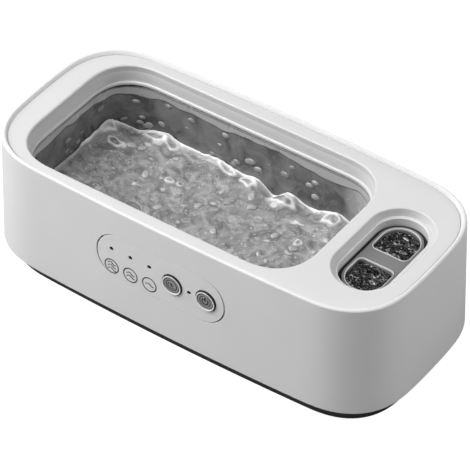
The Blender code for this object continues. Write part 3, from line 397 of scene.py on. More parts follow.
class Finish:
    """A Principled material whose pattern is worked out on Object coordinates."""

    def __init__(self, name, colour, roughness, **fixed):
        self.made = bpy.data.materials.new(name)
        self.made.use_nodes = True
        self.tree = self.made.node_tree
        self.shader = self.tree.nodes["Principled BSDF"]
        self.shader.inputs["Base Color"].default_value = (*colour, 1.0)
        self.shader.inputs["Roughness"].default_value = roughness
        for label, value in fixed.items():
            self.shader.inputs[label.replace("_", " ")].default_value = value
        self.colour, self.roughness = colour, roughness
        self.place = self.node("ShaderNodeTexCoord").outputs["Object"]

    def node(self, kind, links=(), **settings):
        return add_node(self.tree, kind, links, settings)

    def mapped(self, scale=(1, 1, 1), centre=(0, 0, 0), turn=(0, 0, 0)):
        return self.node("ShaderNodeMapping", {"Vector": self.place, "Scale": scale, "Rotation": turn,
                                               "Location": [-c for c in centre]}).outputs["Vector"]

    def speckle(self, size, detail=3.0, vector=None, distortion=0.0, roughness=0.5):
        """A cloud pattern whose blotches are about this size, in metres."""
        links = {"Vector": vector or self.place, "Scale": 1 / size, "Detail": detail, "Roughness": roughness,
                 "Distortion": distortion}
        return self.node("ShaderNodeTexNoise", links).outputs["Fac"]

    def maths(self, kind, *values):
        return self.node("ShaderNodeMath", enumerate(values), operation=kind).outputs["Value"]

    def off(self, value, level):
        """How far a value is from a level, either way."""
        return self.maths("ABSOLUTE", self.maths("SUBTRACT", value, level))

    def between(self, value, low, high, to_low=0.0, to_high=1.0):
        """The value's place between low and high, carried to another range and held inside it."""
        links = {"Value": value, "From Min": low, "From Max": high, "To Min": to_low, "To Max": to_high}
        return self.node("ShaderNodeMapRange", links).outputs["Result"]

    def blend(self, share, first, second):
        """From the first colour to the second. A colour is a socket or three numbers."""
        made = self.node("ShaderNodeMix", data_type="RGBA")
        feed(self.tree, made.inputs[0], share)
        for place, colour in ((6, first), (7, second)):
            feed(self.tree, made.inputs[place], (*colour, 1.0) if isinstance(colour, (tuple, list)) else colour)
        return made.outputs[2]

    def tone(self, share, low, high):
        """Colour between two strengths of the base colour."""
        dim, lit = ([min(1.0, c * k) for c in self.colour] for k in (low, high))
        self.set_colour(self.blend(share, dim, lit))

    def set_colour(self, socket):
        self.tree.links.new(socket, self.shader.inputs["Base Color"])

    def set_roughness(self, share, spread):
        socket = self.between(share, 0.3, 0.7, self.roughness - spread, self.roughness + spread)
        self.tree.links.new(socket, self.shader.inputs["Roughness"])

    def relief(self, *layers):
        """Bump from (pattern, depth in metres) layers, one over the other."""
        normal = None
        for pattern, depth in layers:
            links = {"Height": pattern, "Distance": depth, "Strength": 1.0}
            if normal:
                links["Normal"] = normal
            normal = self.node("ShaderNodeBump", links).outputs["Normal"]
        self.tree.links.new(normal, self.shader.inputs["Normal"])


def moulded(name, colour, roughness, grain=0.35 * MM, depth=0.006 * MM, spread=0.04, shift=0.03, **fixed):
    """Moulded plastic: spark-eroded grain, faint flow clouding, uneven polish."""
    made = Finish(name, colour, roughness, **fixed)
    made.tone(made.speckle(28 * MM, 2.0), 1 - shift, 1 + shift)
    made.set_roughness(made.speckle(6 * MM, 4.0), spread)
    made.relief((made.speckle(grain, 2.0), depth), (made.speckle(14 * MM, 1.0), depth * 3))
    return made.made


def brushed(name, colour, roughness, along=(1, 1, 1), depth=0.004 * MM, spread=0.08, shift=0.1, **fixed):
    """Metal with drawn or brushed lines: the pattern is stretched along its small axes."""
    made = Finish(name, colour, roughness, Metallic=1.0, **fixed)
    lines = made.speckle(0.6 * MM, 4.0, made.mapped(along))
    made.tone(lines, 1 - shift, 1 + shift)
    made.set_roughness(made.speckle(9 * MM, 3.0), spread)
    made.relief((lines, depth))
    return made.made


def bath_steel():
    """Drawn steel: wet and dark below a wavy tide line, dry above it; a painted bright reflection in vertical
    streaks at the right rear corner, and a painted shade line on the rolled top under the lip.
    """
    made = Finish("bath_steel", (0.2, 0.2, 0.203), 0.3, Metallic=0.35)
    lines = made.speckle(0.9 * MM, 3.0, made.mapped((0.12, 0.12, 1.0)))
    clouds = made.speckle(12 * MM, 3.0, distortion=0.8)
    arcs = made.speckle(7 * MM, 1.0, distortion=2.0)
    along, across, height = made.node("ShaderNodeSeparateXYZ", {"Vector": made.place}).outputs
    wave = made.maths("MULTIPLY", made.speckle(15 * MM, 1.0), 7.0 * MM)
    above = made.maths("SUBTRACT", made.maths("ADD", height, wave), TIDE_LINE + 2.9 * MM)
    dry = made.between(above, -0.15 * MM, 0.15 * MM)
    edge = made.between(made.maths("ABSOLUTE", above), 0.1 * MM, 0.55 * MM, 0.75, 0.0)
    arc_line = made.between(made.off(arcs, 0.5), 0.0, 0.02, 0.5, 0.0)
    wet = made.blend(made.between(clouds, 0.35, 0.65), (0.10, 0.10, 0.102), (0.25, 0.25, 0.253))
    wet = made.blend(arc_line, wet, (0.07, 0.07, 0.071))
    # Painted reflection: bright vertical streaks painted on the walls at the right rear corner.
    reflection_streaks = made.speckle(6.0 * MM, 1.0, made.mapped((1.0, 1.0, 0.08)))
    right_end = BATH_CENTRE_X + BATH_HALF_X
    painted_corner_reflection = made.between(along, right_end - 24 * MM, right_end - 9 * MM)
    painted_corner_reflection = made.maths("MULTIPLY", painted_corner_reflection, made.between(across, 2 * MM, 16 * MM))
    painted_corner_reflection = made.maths("MULTIPLY", painted_corner_reflection, made.between(reflection_streaks, 0.35, 0.6, 0.5, 1.0))
    wet = made.blend(painted_corner_reflection, wet, (0.8, 0.8, 0.805))
    whole = made.blend(dry, wet, (0.47, 0.47, 0.472))
    whole = made.blend(edge, whole, (0.05, 0.05, 0.05))
    # Painted shade: a dark band on the steel's rolled top, where the collar's lip shades it.
    painted_lip_shade = made.between(height, FLANGE_TOP - 0.8 * MM, FLANGE_TOP - 0.5 * MM)
    made.set_colour(made.blend(painted_lip_shade, whole, (0.13, 0.13, 0.13)))
    made.set_roughness(clouds, 0.07)
    calm = made.between(height, FLANGE_TOP - 4 * MM, FLANGE_TOP - 1.5 * MM, 1.0, 0.0)
    dents = made.maths("MULTIPLY", made.speckle(4.0 * MM, 1.0), calm)
    made.relief((lines, 0.003 * MM), (made.maths("MULTIPLY", clouds, calm), 0.25 * MM), (dents, 0.06 * MM))
    return made.made


def churned_water(name, deep, froth_and_highlight_colour, ripple, polish, contrast, scale=1.0):
    """Water stirred until it is cloudy. Its white attribute whitens crests, the meniscus and ringed outlines,
    partly as froth and partly as painted highlight.
    """
    made = Finish(name, deep, polish, IOR=1.33)
    froth_and_highlight = made.node("ShaderNodeAttribute", attribute_name="froth_and_highlight").outputs["Fac"]
    swirl = made.speckle(10 * MM * scale, 2.0, distortion=2.0)
    fine = made.speckle(2.4 * MM * scale, 1.0, distortion=1.0)
    dim, lit = [c * (1 - contrast) for c in deep], [min(1, c * (1 + contrast)) for c in deep]
    body = made.blend(made.between(swirl, 0.32, 0.68), dim, lit)
    thread = made.speckle(6 * MM * scale, 1.0, distortion=2.4)
    broken = made.between(fine, 0.42, 0.58)
    dark_thread, light_thread = (0.45, 0.022, 0.75, [c * 0.4 for c in deep]), (0.53, 0.016, 0.5, froth_and_highlight_colour)
    for level, width, share, tone in (dark_thread, light_thread):
        line = made.between(made.off(thread, level), 0.0, width, share, 0.0)
        body = made.blend(made.maths("MULTIPLY", line, broken), body, tone)
    made.set_colour(made.blend(froth_and_highlight, body, froth_and_highlight_colour))
    made.set_roughness(fine, 0.04)
    made.relief((swirl, ripple * 2.5), (fine, ripple))
    return made.made


def turned_metal(name, centre_x, centre_z):
    """Anodised button face: fine rings about its own axis, with painted shade in the cut grooves and at the edge
    gap, and a painted highlight band near the edge.
    """
    made = Finish(name, (0.17, 0.17, 0.172), 0.34, Metallic=0.1)
    out = made.mapped((1, 0, 1), (centre_x, 0, centre_z))
    across = made.node("ShaderNodeVectorMath", {0: out}, operation="LENGTH").outputs["Value"]
    painted_light_rings = made.node("ShaderNodeValToRGB", {"Fac": made.between(across, 0.0, BUTTON_RADIUS)})
    # Ring tones by share of the radius: the face's own grey, painted shade in the grooves at 2.7 and 4.03 mm and
    # over the edge chamfer, and a painted highlight band just inside it.
    steps = (
        (0.0, 0.27), (0.48, 0.27), (0.50, 0.02), (0.56, 0.02), (0.58, 0.25), (0.74, 0.25),
        (0.76, 0.01), (0.81, 0.01), (0.83, 0.85), (0.945, 0.80), (0.96, 0.01),
    )
    stops = painted_light_rings.color_ramp.elements
    for share, _ in steps[:-2]:
        stops.new(share)
    for stop, (share, tone) in zip(stops, steps):
        stop.position, stop.color = share, (tone, tone, tone, 1)
    rings = made.maths("SINE", made.maths("MULTIPLY", across, 2 * math.pi / (0.26 * MM)))
    wear = made.between(made.speckle(1.5 * MM, 3.0), 0.3, 0.7, 0.0, 0.15)
    made.set_colour(made.blend(wear, painted_light_rings.outputs["Color"], (0.06, 0.06, 0.06)))
    made.set_roughness(made.speckle(2 * MM, 3.0), 0.06)
    made.relief((rings, 0.0006 * MM))
    return made.made


def wound(name, colour, turn_size, axis):
    """Enamelled wire, one layer of turns along an axis, painted darker between the turns and lighter on their
    crowns as painted shade and highlight.
    """
    made = Finish(name, colour, 0.32, Metallic=1.0)
    place = made.node("ShaderNodeSeparateXYZ", {"Vector": made.place}).outputs[axis]
    turns = made.maths("SINE", made.maths("MULTIPLY", place, 2 * math.pi / turn_size))
    # Painted shade and highlight: darker between the turns, lighter on their crowns.
    made.tone(made.between(turns, -1, 1), 0.6, 1.2)
    made.set_roughness(made.speckle(1 * MM), 0.08)
    made.relief((turns, 0.1 * MM))
    return made.made


def circuit(name):
    """Solder mask over copper tracks."""
    made = Finish(name, (0.015, 0.11, 0.045), 0.33)
    links = {"Vector": made.mapped(turn=(0.3, 0.0, 0.4)), "Scale": 90.0, "Mortar Size": 0.03}
    tracks = made.node("ShaderNodeTexBrick", links).outputs["Fac"]
    made.set_colour(made.blend(tracks, (0.012, 0.09, 0.036), (0.03, 0.2, 0.08)))
    made.set_roughness(made.speckle(2 * MM), 0.05)
    made.relief((tracks, 0.03 * MM), (made.speckle(0.2 * MM), 0.004 * MM))
    return made.made


white = moulded("white_shell", (0.64, 0.64, 0.645), 0.4, Specular_IOR_Level=0.4)
# The deck's white is the shell's white made darker: painted shade that offsets the strong light on the
# upward-facing deck.
white_deck_painted_darker = moulded("white_deck_painted_darker", (0.57, 0.57, 0.573), 0.36, Specular_IOR_Level=0.45)
# A lighter copy of the white plastic: painted highlight on the bath collar's lip and the lens recess's nose.
painted_highlight_lip = moulded("painted_highlight_lip", (0.68, 0.68, 0.68), 0.26, grain=0.3 * MM, depth=0.002 * MM)
cup_grey = moulded("cup_grey", (0.185, 0.185, 0.187), 0.3, grain=0.2 * MM)
cup_rim_highlight = moulded("cup_rim_highlight", (0.6, 0.6, 0.6), 0.2, grain=0.2 * MM, depth=0.003 * MM)
black_gloss = moulded("black_moulding", (0.010, 0.010, 0.011), 0.32, grain=0.2 * MM)
base_grain = moulded("base_grain", (0.022, 0.022, 0.023), 0.5, grain=0.45 * MM, depth=0.02 * MM, shift=0.1)
silicone = moulded("silicone", (0.003, 0.003, 0.003), 0.6, grain=0.15 * MM, depth=0.005 * MM)
rubber = moulded("foot_rubber", (0.02, 0.02, 0.02), 0.75, grain=0.3 * MM, depth=0.03 * MM, shift=0.2)
ink = moulded("printed_ink", (0.02, 0.02, 0.021), 0.45, grain=0.1 * MM, depth=0.002 * MM)
button_ink = moulded("button_ink", (0.004, 0.004, 0.004), 0.4, grain=0.1 * MM, depth=0.002 * MM)
smoked = moulded("smoked_lens", (0.002, 0.002, 0.002), 0.5, grain=0.3 * MM, depth=0.001 * MM,
                 Specular_IOR_Level=0.1)
bath_finish = bath_steel()
plate_steel = brushed("plate_steel", (0.42, 0.42, 0.43), 0.3, (1, 0.05, 1))
screw_steel = brushed("screw_steel", (0.5, 0.5, 0.52), 0.3, (1, 1, 0.1))
aluminium = brushed("sink_aluminium", (0.6, 0.6, 0.62), 0.35, (1, 1, 0.04))
brass = brushed("pin_brass", (0.6, 0.42, 0.16), 0.28, (1, 0.05, 1))
ceramic = moulded("silvered_ceramic", (0.55, 0.5, 0.42), 0.45, grain=0.3 * MM, depth=0.01 * MM, shift=0.08)
ferrite = moulded("ferrite_grain", (0.03, 0.03, 0.03), 0.65, grain=0.25 * MM, depth=0.02 * MM, shift=0.15)
sleeve = moulded("shrink_sleeve", (0.03, 0.05, 0.15), 0.3, grain=0.5 * MM, depth=0.004 * MM)
lamp_resin = moulded("lamp_resin", (0.7, 0.65, 0.4), 0.25, grain=0.2 * MM, depth=0.002 * MM)
red_lead = moulded("red_lead", (0.4, 0.02, 0.02), 0.45, grain=0.4 * MM, depth=0.01 * MM)
grey_lead = moulded("grey_lead", (0.25, 0.25, 0.25), 0.45, grain=0.4 * MM, depth=0.01 * MM)
board = circuit("solder_mask")
coil_wire = wound("coil_wire", (0.5, 0.2, 0.08), 0.45 * MM, "Y")
ring_wire = wound("ring_wire", (0.5, 0.2, 0.08), 0.6 * MM, "X")
# The second colour of each water is the white of its froth and of its painted highlights.
bath_water = churned_water("bath_water", (0.25, 0.25, 0.253), (0.97, 0.97, 0.98), 0.06 * MM, 0.15, 0.38)
well_water = churned_water("well_water", (0.009, 0.009, 0.009), (0.75, 0.75, 0.76), 0.022 * MM, 0.06, 1.0, 0.34)


def place(piece, finish, slot=None, *nodes, body="root"):
    """Gives a piece its finish, its body and the nodes it stands for."""
    if not piece.data.materials:
        piece.data.materials.append(finish)
    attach(piece, body)
    if nodes:
        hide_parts(*nodes)


# ---- shell, deck and panel

def make_shell():
    """Drafted outer wall with rolled rim; the front is cut for the panel, the rear for the socket."""
    low, high = body_face(BODY_BOTTOM), body_face(RIM_TOP - RIM_ROUND)
    shelf, shelf_end = DECK_UNDER - GAP, RIM_WIDTH + SHELF_REACH
    under = shelf - SHELF_THICKNESS
    profile = [(low + WALL, BODY_BOTTOM)]
    profile += arc(low + EDGE_ROUND, BODY_BOTTOM + EDGE_ROUND, EDGE_ROUND, 270, 180, 5)
    courses = 9
    for step in range(1, courses):
        z = BODY_BOTTOM + EDGE_ROUND + (RIM_TOP - RIM_ROUND - BODY_BOTTOM - EDGE_ROUND) * step / courses
        profile.append((body_face(z), z))
    profile += arc(high + RIM_ROUND, RIM_TOP - RIM_ROUND, RIM_ROUND, 180, 90)
    profile += arc(RIM_WIDTH - 1.0 * MM, RIM_TOP - 0.6 * MM, 0.6 * MM, 90, 35, 5)
    lip = RIM_WIDTH + 0.2 * MM
    profile += [(lip - 0.1 * MM, DECK_TOP + 0.1 * MM), (lip, DECK_TOP - 0.1 * MM), (lip, shelf)]
    profile += [(shelf_end, shelf), (shelf_end, under)]
    profile += [(body_face(under - SHELF_REACH) + WALL, under - SHELF_REACH)]
    shell = band("body_shell", BODY, profile)
    _, rear, middle = extent("power_inlet")
    hole_radius, hole_start, hole_length = 4.6 * MM, 7 * MM, 12 * MM
    hole = turned("hole", [(hole_radius, 0.0), (hole_radius, hole_length)],
                  (middle.x, rear.y - hole_start, middle.z), TO_REAR)
    front = front_face(0, PANEL_Z)
    mouth = front_capsule("mouth", GAP, 0.14 * MM, front - WALL, front + 2.5 * WALL)
    boolean(shell, [mouth, hole], "DIFFERENCE")
    place(even_shading(soften_front(shell, 0.16 * MM)), white, "white_plastic", "outer_housing")


def make_deck():
    """Flat deck with the bath's collar and the sloping recess of the lens cup."""
    bm = bmesh.new()
    outer = RIM_WIDTH + GAP
    soft = 0.25 * MM
    rim = [(outer + soft, DECK_TOP), (outer + 0.07 * MM, DECK_TOP - 0.07 * MM), (outer, DECK_TOP - soft)]
    edge = loft(bm, BODY, rim + [(outer, DECK_UNDER)])
    collar = arc(-MM, DECK_TOP - MM, MM, 90, 8, 10)
    collar += [(inset, DECK_TOP - down) for inset, down in in_mm((0.05, 3.0), (0.15, 3.4), (0.3, 3.7))]
    collar += [(0.75 * MM, COLLAR_FOLD - 0.7 * MM), (0.62 * MM, COLLAR_FOLD - 1.0 * MM)]
    lip_round, lip_inner, collar_back = 0.85 * MM, COLLAR_LIP - 0.65 * MM, -2.4 * MM
    collar += arc(COLLAR_LIP - lip_round, LIP_UNDER + lip_round, lip_round, 84, 0, 10)
    collar += arc(COLLAR_LIP - soft, LIP_UNDER + soft, soft, 0, -90, 4)
    collar += [(lip_inner, LIP_UNDER), (lip_inner, COLLAR_UNDER)]
    collar += [(collar_back, COLLAR_UNDER), (collar_back, COLLAR_UNDER + 1.6 * MM)]
    collar += [(-BATH_EDGE_ROUND, COLLAR_UNDER + 2.6 * MM), (-BATH_EDGE_ROUND, DECK_UNDER)]
    slope_z = DECK_TOP - RECESS_SLOPE_DEPTH
    nose = 0.45 * MM
    edge_round = 0.9 * MM
    recess = arc(-0.5 * MM, DECK_TOP - edge_round, edge_round, 90, 25, 8)
    recess += [(RECESS_SLOPE - 1.25 * MM, slope_z + 0.5 * MM), (RECESS_SLOPE - 1.1 * MM, slope_z + 0.42 * MM)]
    recess += arc(RECESS_SLOPE + 0.1 * MM - nose, slope_z + 0.3 * MM - nose, nose, 90, 0, 6)
    recess += [(RECESS_SLOPE + 0.2 * MM, DECK_TOP - RECESS_DEPTH)]
    recess += [(SOCKET_REACH, DECK_TOP - RECESS_DEPTH), (SOCKET_REACH, slope_z - 1.6 * MM)]
    recess += [(-RECESS_EDGE_ROUND, DECK_UNDER - MM), (-RECESS_EDGE_ROUND, DECK_UNDER)]
    bath_rings, recess_rings = loft(bm, BATH, collar), loft(bm, RECESS, recess)
    # bead: the lip and the nose faces, given the lighter white as painted highlight.
    bead = {v for ring, (_, z) in zip(bath_rings, collar) for v in ring if z < LIP_UNDER + 0.82 * MM}
    bead |= {v for ring in recess_rings for v in ring if abs(v.co.z - slope_z - 0.16 * MM) < 0.15 * MM}
    for rings, lean, low in ((recess_rings, RECESS_LEAN, slope_z + MM), (bath_rings, COLLAR_LEAN, COLLAR_FOLD)):
        for vertex in (v for ring in rings for v in ring if v.co.z > low):
            reach = lean * (vertex.co.z - low) / (DECK_TOP - low)
            vertex.co += Vector((reach, -reach, 0))
    fill_between(bm, [edge[0], bath_rings[0], recess_rings[0]])
    fill_between(bm, [edge[-1], bath_rings[-1], recess_rings[-1]])
    for face in bm.faces:
        if bead.issuperset(face.verts):
            face.material_index = 1
    deck = from_bmesh("deck_top", bm, 40)
    deck.data.materials.append(white_deck_painted_darker)
    deck.data.materials.append(painted_highlight_lip)
    place(even_shading(deck), white_deck_painted_darker, "white_plastic", "top_deck")


def light_centres():
    """Middle of each indicator lens, (x, z)."""
    found = []
    for number in range(1, 5):
        low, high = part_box(f"indicator_lens_{number}")
        found.append(((low.x + high.x) / 2, (low.z + high.z) / 2))
    return found


def button_centre(name):
    """Middle of a button, and the y of its foremost ring."""
    low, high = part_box(name)
    return (low.x + high.x) / 2, (low.z + high.z) / 2, low.y


def soften_front(piece, width, sharpest=50):
    """A small bevel on the edges where the front face meets its cuts."""
    bm = bmesh.new()
    bm.from_mesh(piece.data)
    chosen = []
    for edge in bm.edges:
        if len(edge.link_faces) != 2 or edge.calc_face_angle() < math.radians(sharpest):
            continue
        if any(face.normal.y < -0.9 for face in edge.link_faces):
            chosen.append(edge)
    bmesh.ops.bevel(bm, geom=chosen, offset=width, segments=2, profile=0.5, affect="EDGES", clamp_overlap=True)
    bm.to_mesh(piece.data)
    bm.free()
    piece.data.shade_smooth()
    piece.data.set_sharp_from_angle(angle=math.radians(40))
    return piece


def make_panel():
    """Flush capsule of the front wall, bored for the buttons and lights."""
    low, high = PANEL_Z - 18 * MM, PANEL_Z + 18 * MM
    depth = WALL + GAP + MM
    heights = [low + (high - low) * step / 8 for step in range(9)]
    profile = [(body_face(z), z) for z in heights] + [(body_face(z) + depth, z) for z in reversed(heights)]
    front = front_face(0, PANEL_Z)
    end_gap = 0.38 * MM
    outline = front_capsule("keep", -end_gap, 0.0, front - 5 * MM, 0.0)
    panel = boolean(band("panel_face", BODY, profile), [outline], "INTERSECT")
    soften_front(panel, 0.3 * MM)

    def bore(x, y, z, radius, steps=48):
        return turned("bore", [(radius, -2 * MM), (radius, 9 * MM)], (x, y, z), TO_REAR, steps)

    centres = map(button_centre, ("power_button", "timer_button"))
    bores = [bore(x, y, z, BUTTON_RADIUS + GAP) for x, z, y in centres]
    bores += [bore(x, front_face(x, z), z, LIGHT_BORE, 24) for x, z in light_centres()]
    boolean(panel, bores, "DIFFERENCE")
    place(even_shading(panel), white, "white_plastic", "control_panel")


# ---- printed marks, buttons and lights

def stroke(bm, points, width, face, closed=False):
    """A flat printed line along (x, z) points, laid on a surface whose y is face(x, z)."""
    proud, sunk = 0.03 * MM, 0.05 * MM
    rings = []
    for i, point in enumerate(points):
        before = points[i - 1] if i or closed else point
        after = points[(i + 1) % len(points)] if i + 1 < len(points) or closed else point
        way = (Vector(after) - Vector(before)).normalized()
        side = Vector((-way.y, way.x)) * width / 2
        ring = []
        for edge, depth in ((side, -proud), (-side, -proud), (-side, sunk), (side, sunk)):
            x, z = point[0] + edge.x, point[1] + edge.y
            ring.append(bm.verts.new((x, face(x, z) + depth, z)))
        rings.append(ring)
    skin(bm, rings, closed, not closed)


def circle(x, z, radius, start=0.0, end=360.0, steps=48):
    count = steps if end - start >= 360 else steps + 1
    angles = [math.radians(start + (end - start) * i / steps) for i in range(count)]
    return [(x + radius * math.sin(a), z + radius * math.cos(a)) for a in angles]


def ripple_line(x, z, start, end, steps=14):
    """A short wave across a mode mark."""
    length, rise = 4.4 * MM, 0.66 * MM
    found = []
    for i in range(steps + 1):
        share = start + (end - start) * i / steps
        found.append((x + (share - 0.5) * length, z + rise * math.sin(2 * math.pi * (share * 0.95 - 0.1))))
    return found


def make_mode_marks():
    """Three ringed marks for the strong, middle and gentle modes."""
    bm = bmesh.new()
    for (x, _), waves in zip(light_centres()[:3], (3, 2, 1)):
        z = PANEL_Z - MARK_DROP
        stroke(bm, circle(x, z, MARK_RADIUS), MARK_LINE, front_face, closed=True)
        for i in range(waves):
            row = z + (i - (waves - 1) / 2) * MARK_WAVE_PITCH
            stroke(bm, ripple_line(x, row, 0.36, 1.0), MARK_WAVE_LINE, front_face)
            for dot in (0.03, 0.19):
                stroke(bm, ripple_line(x, row, dot, dot + 0.1, 2), MARK_WAVE_LINE, front_face)
    place(from_bmesh("mode_marks", bm), ink)


def make_button(name, finish):
    """A turned button: chamfered edge, dished face with cut rings, flange and stem behind."""
    x, z, y = button_centre(name)
    low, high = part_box(name)
    edge, dish = 0.3 * MM, 0.25 * MM
    profile = [(0.3 * MM, dish)]
    for ring, groove, cut in in_mm((2.7, 0.22, 0.22), (4.03, 0.2, 0.3)):     # radius, half width, depth
        profile += [(ring - groove, dish), (ring - groove * 0.5, dish + cut), (ring + groove * 0.5, dish + cut)]
        profile += [(ring + groove, dish)]
    profile += [(BUTTON_RADIUS - edge - 0.5 * MM, 0.03 * MM), (BUTTON_RADIUS - edge, 0.0)]
    profile += [(BUTTON_RADIUS - 0.15 * MM, 0.18 * MM), (BUTTON_RADIUS, edge)]
    flange_radius, stem_radius, flange, flange_back = in_mm((5.9, 1.5, 2.8, 2.8 + 0.8))[0]
    profile += [(BUTTON_RADIUS, flange), (flange_radius, flange), (flange_radius, flange_back)]
    profile += [(stem_radius, flange_back), (stem_radius, high.y - low.y)]
    button = turned(f"{name}_cap", profile, (x, y, z), TO_REAR, 72)
    place(even_shading(button), finish, "dark_button_metal", name, body=name)
    return x, z, y + dish


def make_buttons():
    for name in ("power_button", "timer_button"):
        x, z, _ = button_centre(name)
        metal = turned_metal(f"{name}_metal", x, z)
        x, z, y = make_button(name, metal)
        bm = bmesh.new()

        def face(*_, y=y):
            return y

        if name == "power_button":
            stroke(bm, circle(x, z, 1.5 * MM, 40, 320), 0.68 * MM, face)
            stroke(bm, [(x, z + 0.1 * MM), (x, z + 2.2 * MM)], 0.9 * MM, face)
        else:
            stroke(bm, circle(x, z, 1.75 * MM, 130, 320), 0.4 * MM, face)
            hub_x, hub_z = x - 0.1 * MM, z - 0.2 * MM
            stroke(bm, [(hub_x, z + 1.3 * MM), (hub_x, hub_z), (x + 0.9 * MM, hub_z)], 0.85 * MM, face)
        place(from_bmesh(f"{name}_mark", bm), button_ink, body=name)


def make_lenses():
    """Smoked light pipes with a domed face, just below the panel's surface."""
    for number, (x, z) in enumerate(light_centres(), 1):
        low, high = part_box(f"indicator_lens_{number}")
        radius = 0.75 * MM
        profile = [(radius * 0.2, 0.0), (radius * 0.7, 0.05 * MM), (radius, 0.2 * MM)]
        profile += [(radius, high.y - low.y)]
        lens = turned(f"light_pipe_{number}", profile, (x, low.y, z), TO_REAR, 24)
        place(lens, smoked, "smoked_light_pipe", f"indicator_lens_{number}")


# ---- bath and water

def make_bath():
    """Drawn steel bath hung by its flange, and the gasket over the flange."""
    foot = BATH_INSET + BATH_TAPER
    wall_low, wall_high = BATH_FLOOR + BATH_FLOOR_ROUND, FLANGE_TOP - STEEL
    profile = arc(foot + BATH_FLOOR_ROUND, wall_low, BATH_FLOOR_ROUND, 270, 180, 12)
    for step in range(1, 8):
        share = step / 8
        profile.append((foot - BATH_TAPER * share, wall_low + (wall_high - wall_low) * share))
    profile += arc(BATH_INSET - STEEL, wall_high, STEEL, 0, 90, 5)
    profile += [(-BATH_FLANGE, FLANGE_TOP), (-BATH_FLANGE, wall_high), (BATH_INSET - STEEL, wall_high)]
    profile += arc(foot + BATH_FLOOR_ROUND, wall_low, BATH_FLOOR_ROUND + STEEL, 180, 270, 12)
    place(vessel("steel_bath", BATH, profile), bath_finish, "stainless_steel", "bath_liner")
    inner, outer = COLLAR_LIP - 0.95 * MM, -BATH_FLANGE + GAP
    middle = (gasket_high.z + gasket_low.z) / 2
    ring = [(inner, gasket_high.z), (inner - 0.15 * MM, middle), (inner, gasket_low.z), (outer, gasket_low.z)]
    ring += [(outer, gasket_high.z)]
    place(band("bath_seal", BATH, ring), silicone, "black_silicone", "bath_gasket")


def smooth_step(value):
    """0 below 0, 1 above 1, and an even curve between."""
    value = min(1.0, max(0.0, value))
    return value * value * (3 - 2 * value)


def hump(x, y, middle, reach, rise):
    """A smooth mound of water."""
    return rise * math.exp(-((x - middle[0]) ** 2 + (y - middle[1]) ** 2) / (2 * reach ** 2))


def chop(x, y, size=1.0):
    """Choppy surface, from a long swell down to ripples. Sizes in metres."""
    u, v = x / MM / size, y / MM / size
    warp = 3.0 * noise.noise((u / 9, v / 9, 7.0))
    swell = noise.noise((u / 27, v / 22, 1.5))
    lump = noise.noise(((u + warp) / 8.5, (v - warp) / 6.5, 4.2))
    crest = 0.5 - abs(noise.noise(((u - warp) / 7.5, (v + warp) / 6.0, 9.1)))
    ripple = noise.noise((u / 2.8, v / 2.8, 2.4))
    return (1.4 * swell + 1.1 * lump + 0.6 * crest + 0.14 * ripple) * MM * size


def pattern(x, y, long, wide, seed):
    """Noise over the plan, with blotches this many millimetres long and wide."""
    return noise.noise((x / MM / long, y / MM / wide, seed))


def rings_of(x, y, reach, level, width, seed):
    """Closed loops where a noise pattern crosses a level: 1 on the loop, 0 away from it."""
    value = noise.noise((x / reach, y / (reach * 0.8), seed))
    return smooth_step(1 - abs(value - level) / width)


def inside_distance(plan_points, x, y):
    """How far points are inside an outline."""
    ends = np.array(plan_points)
    starts = np.roll(ends, 1, axis=0)
    along = ends - starts
    best = np.full(x.shape, 1.0)
    for start, way in zip(starts, along):
        share = ((x - start[0]) * way[0] + (y - start[1]) * way[1]) / max(way @ way, 1e-12)
        share = np.clip(share, 0, 1)
        best = np.minimum(best, np.hypot(x - start[0] - share * way[0], y - start[1] - share * way[1]))
    return best


def row_span(points, y):
    """Lowest and highest x of an outline at this y."""
    found = []
    for first, second in zip(points, points[1:] + points[:1]):
        if min(first[1], second[1]) <= y <= max(first[1], second[1]) and first[1] != second[1]:
            share = (y - first[1]) / (second[1] - first[1])
            found.append(first[0] + share * (second[0] - first[0]))
    return min(found), max(found)


def pool(name, outline, columns, rows, surface, bed):
    """A closed body of water in an outline. surface and bed give height and white share (froth and painted
    highlight) at (x, y, distance in).
    """
    ys = [p[1] for p in outline]
    low, high = min(ys) + 1e-7, max(ys) - 1e-7
    grid_x, grid_y = np.zeros((rows, columns)), np.zeros((rows, columns))
    for j in range(rows):
        share = j / (rows - 1)
        y = low + (high - low) * (0.7 * share + 0.3 * (0.5 - 0.5 * math.cos(math.pi * share)))
        left, right = row_span(outline, y)
        spread = np.linspace(0, 1, columns)
        grid_x[j] = left + (right - left) * (0.8 * spread + 0.2 * (0.5 - 0.5 * np.cos(np.pi * spread)))
        grid_y[j] = y
    inward = inside_distance(outline, grid_x, grid_y)
    top, froth_and_highlight, bottom = [], [], []
    for x, y, d in zip(grid_x.ravel(), grid_y.ravel(), inward.ravel()):
        height, white_share = surface(x, y, d)
        top.append((x, y, height))
        froth_and_highlight.append(white_share)
        bottom.append((x, y, bed(x, y, d)))
    count = rows * columns
    faces = []
    for j in range(rows - 1):
        for i in range(columns - 1):
            a = j * columns + i
            faces.append((a, a + 1, a + columns + 1, a + columns))
            faces.append((count + a, count + a + columns, count + a + columns + 1, count + a + 1))
    rim = list(range(columns)) + [columns * (j + 1) - 1 for j in range(1, rows)]
    rim += list(range(count - 2, count - columns - 1, -1)) + [columns * j for j in range(rows - 2, 0, -1)]
    for a, b in zip(rim, rim[1:] + rim[:1]):
        faces.append((b, a, count + a, count + b))
    mesh = bpy.data.meshes.new(name)
    mesh.from_pydata(top + bottom, [], faces)
    layer = mesh.attributes.new("froth_and_highlight", "FLOAT", "POINT")
    layer.data.foreach_set("value", np.array(froth_and_highlight + [0.0] * count, dtype=np.float32))
    return link(name, mesh, 180)


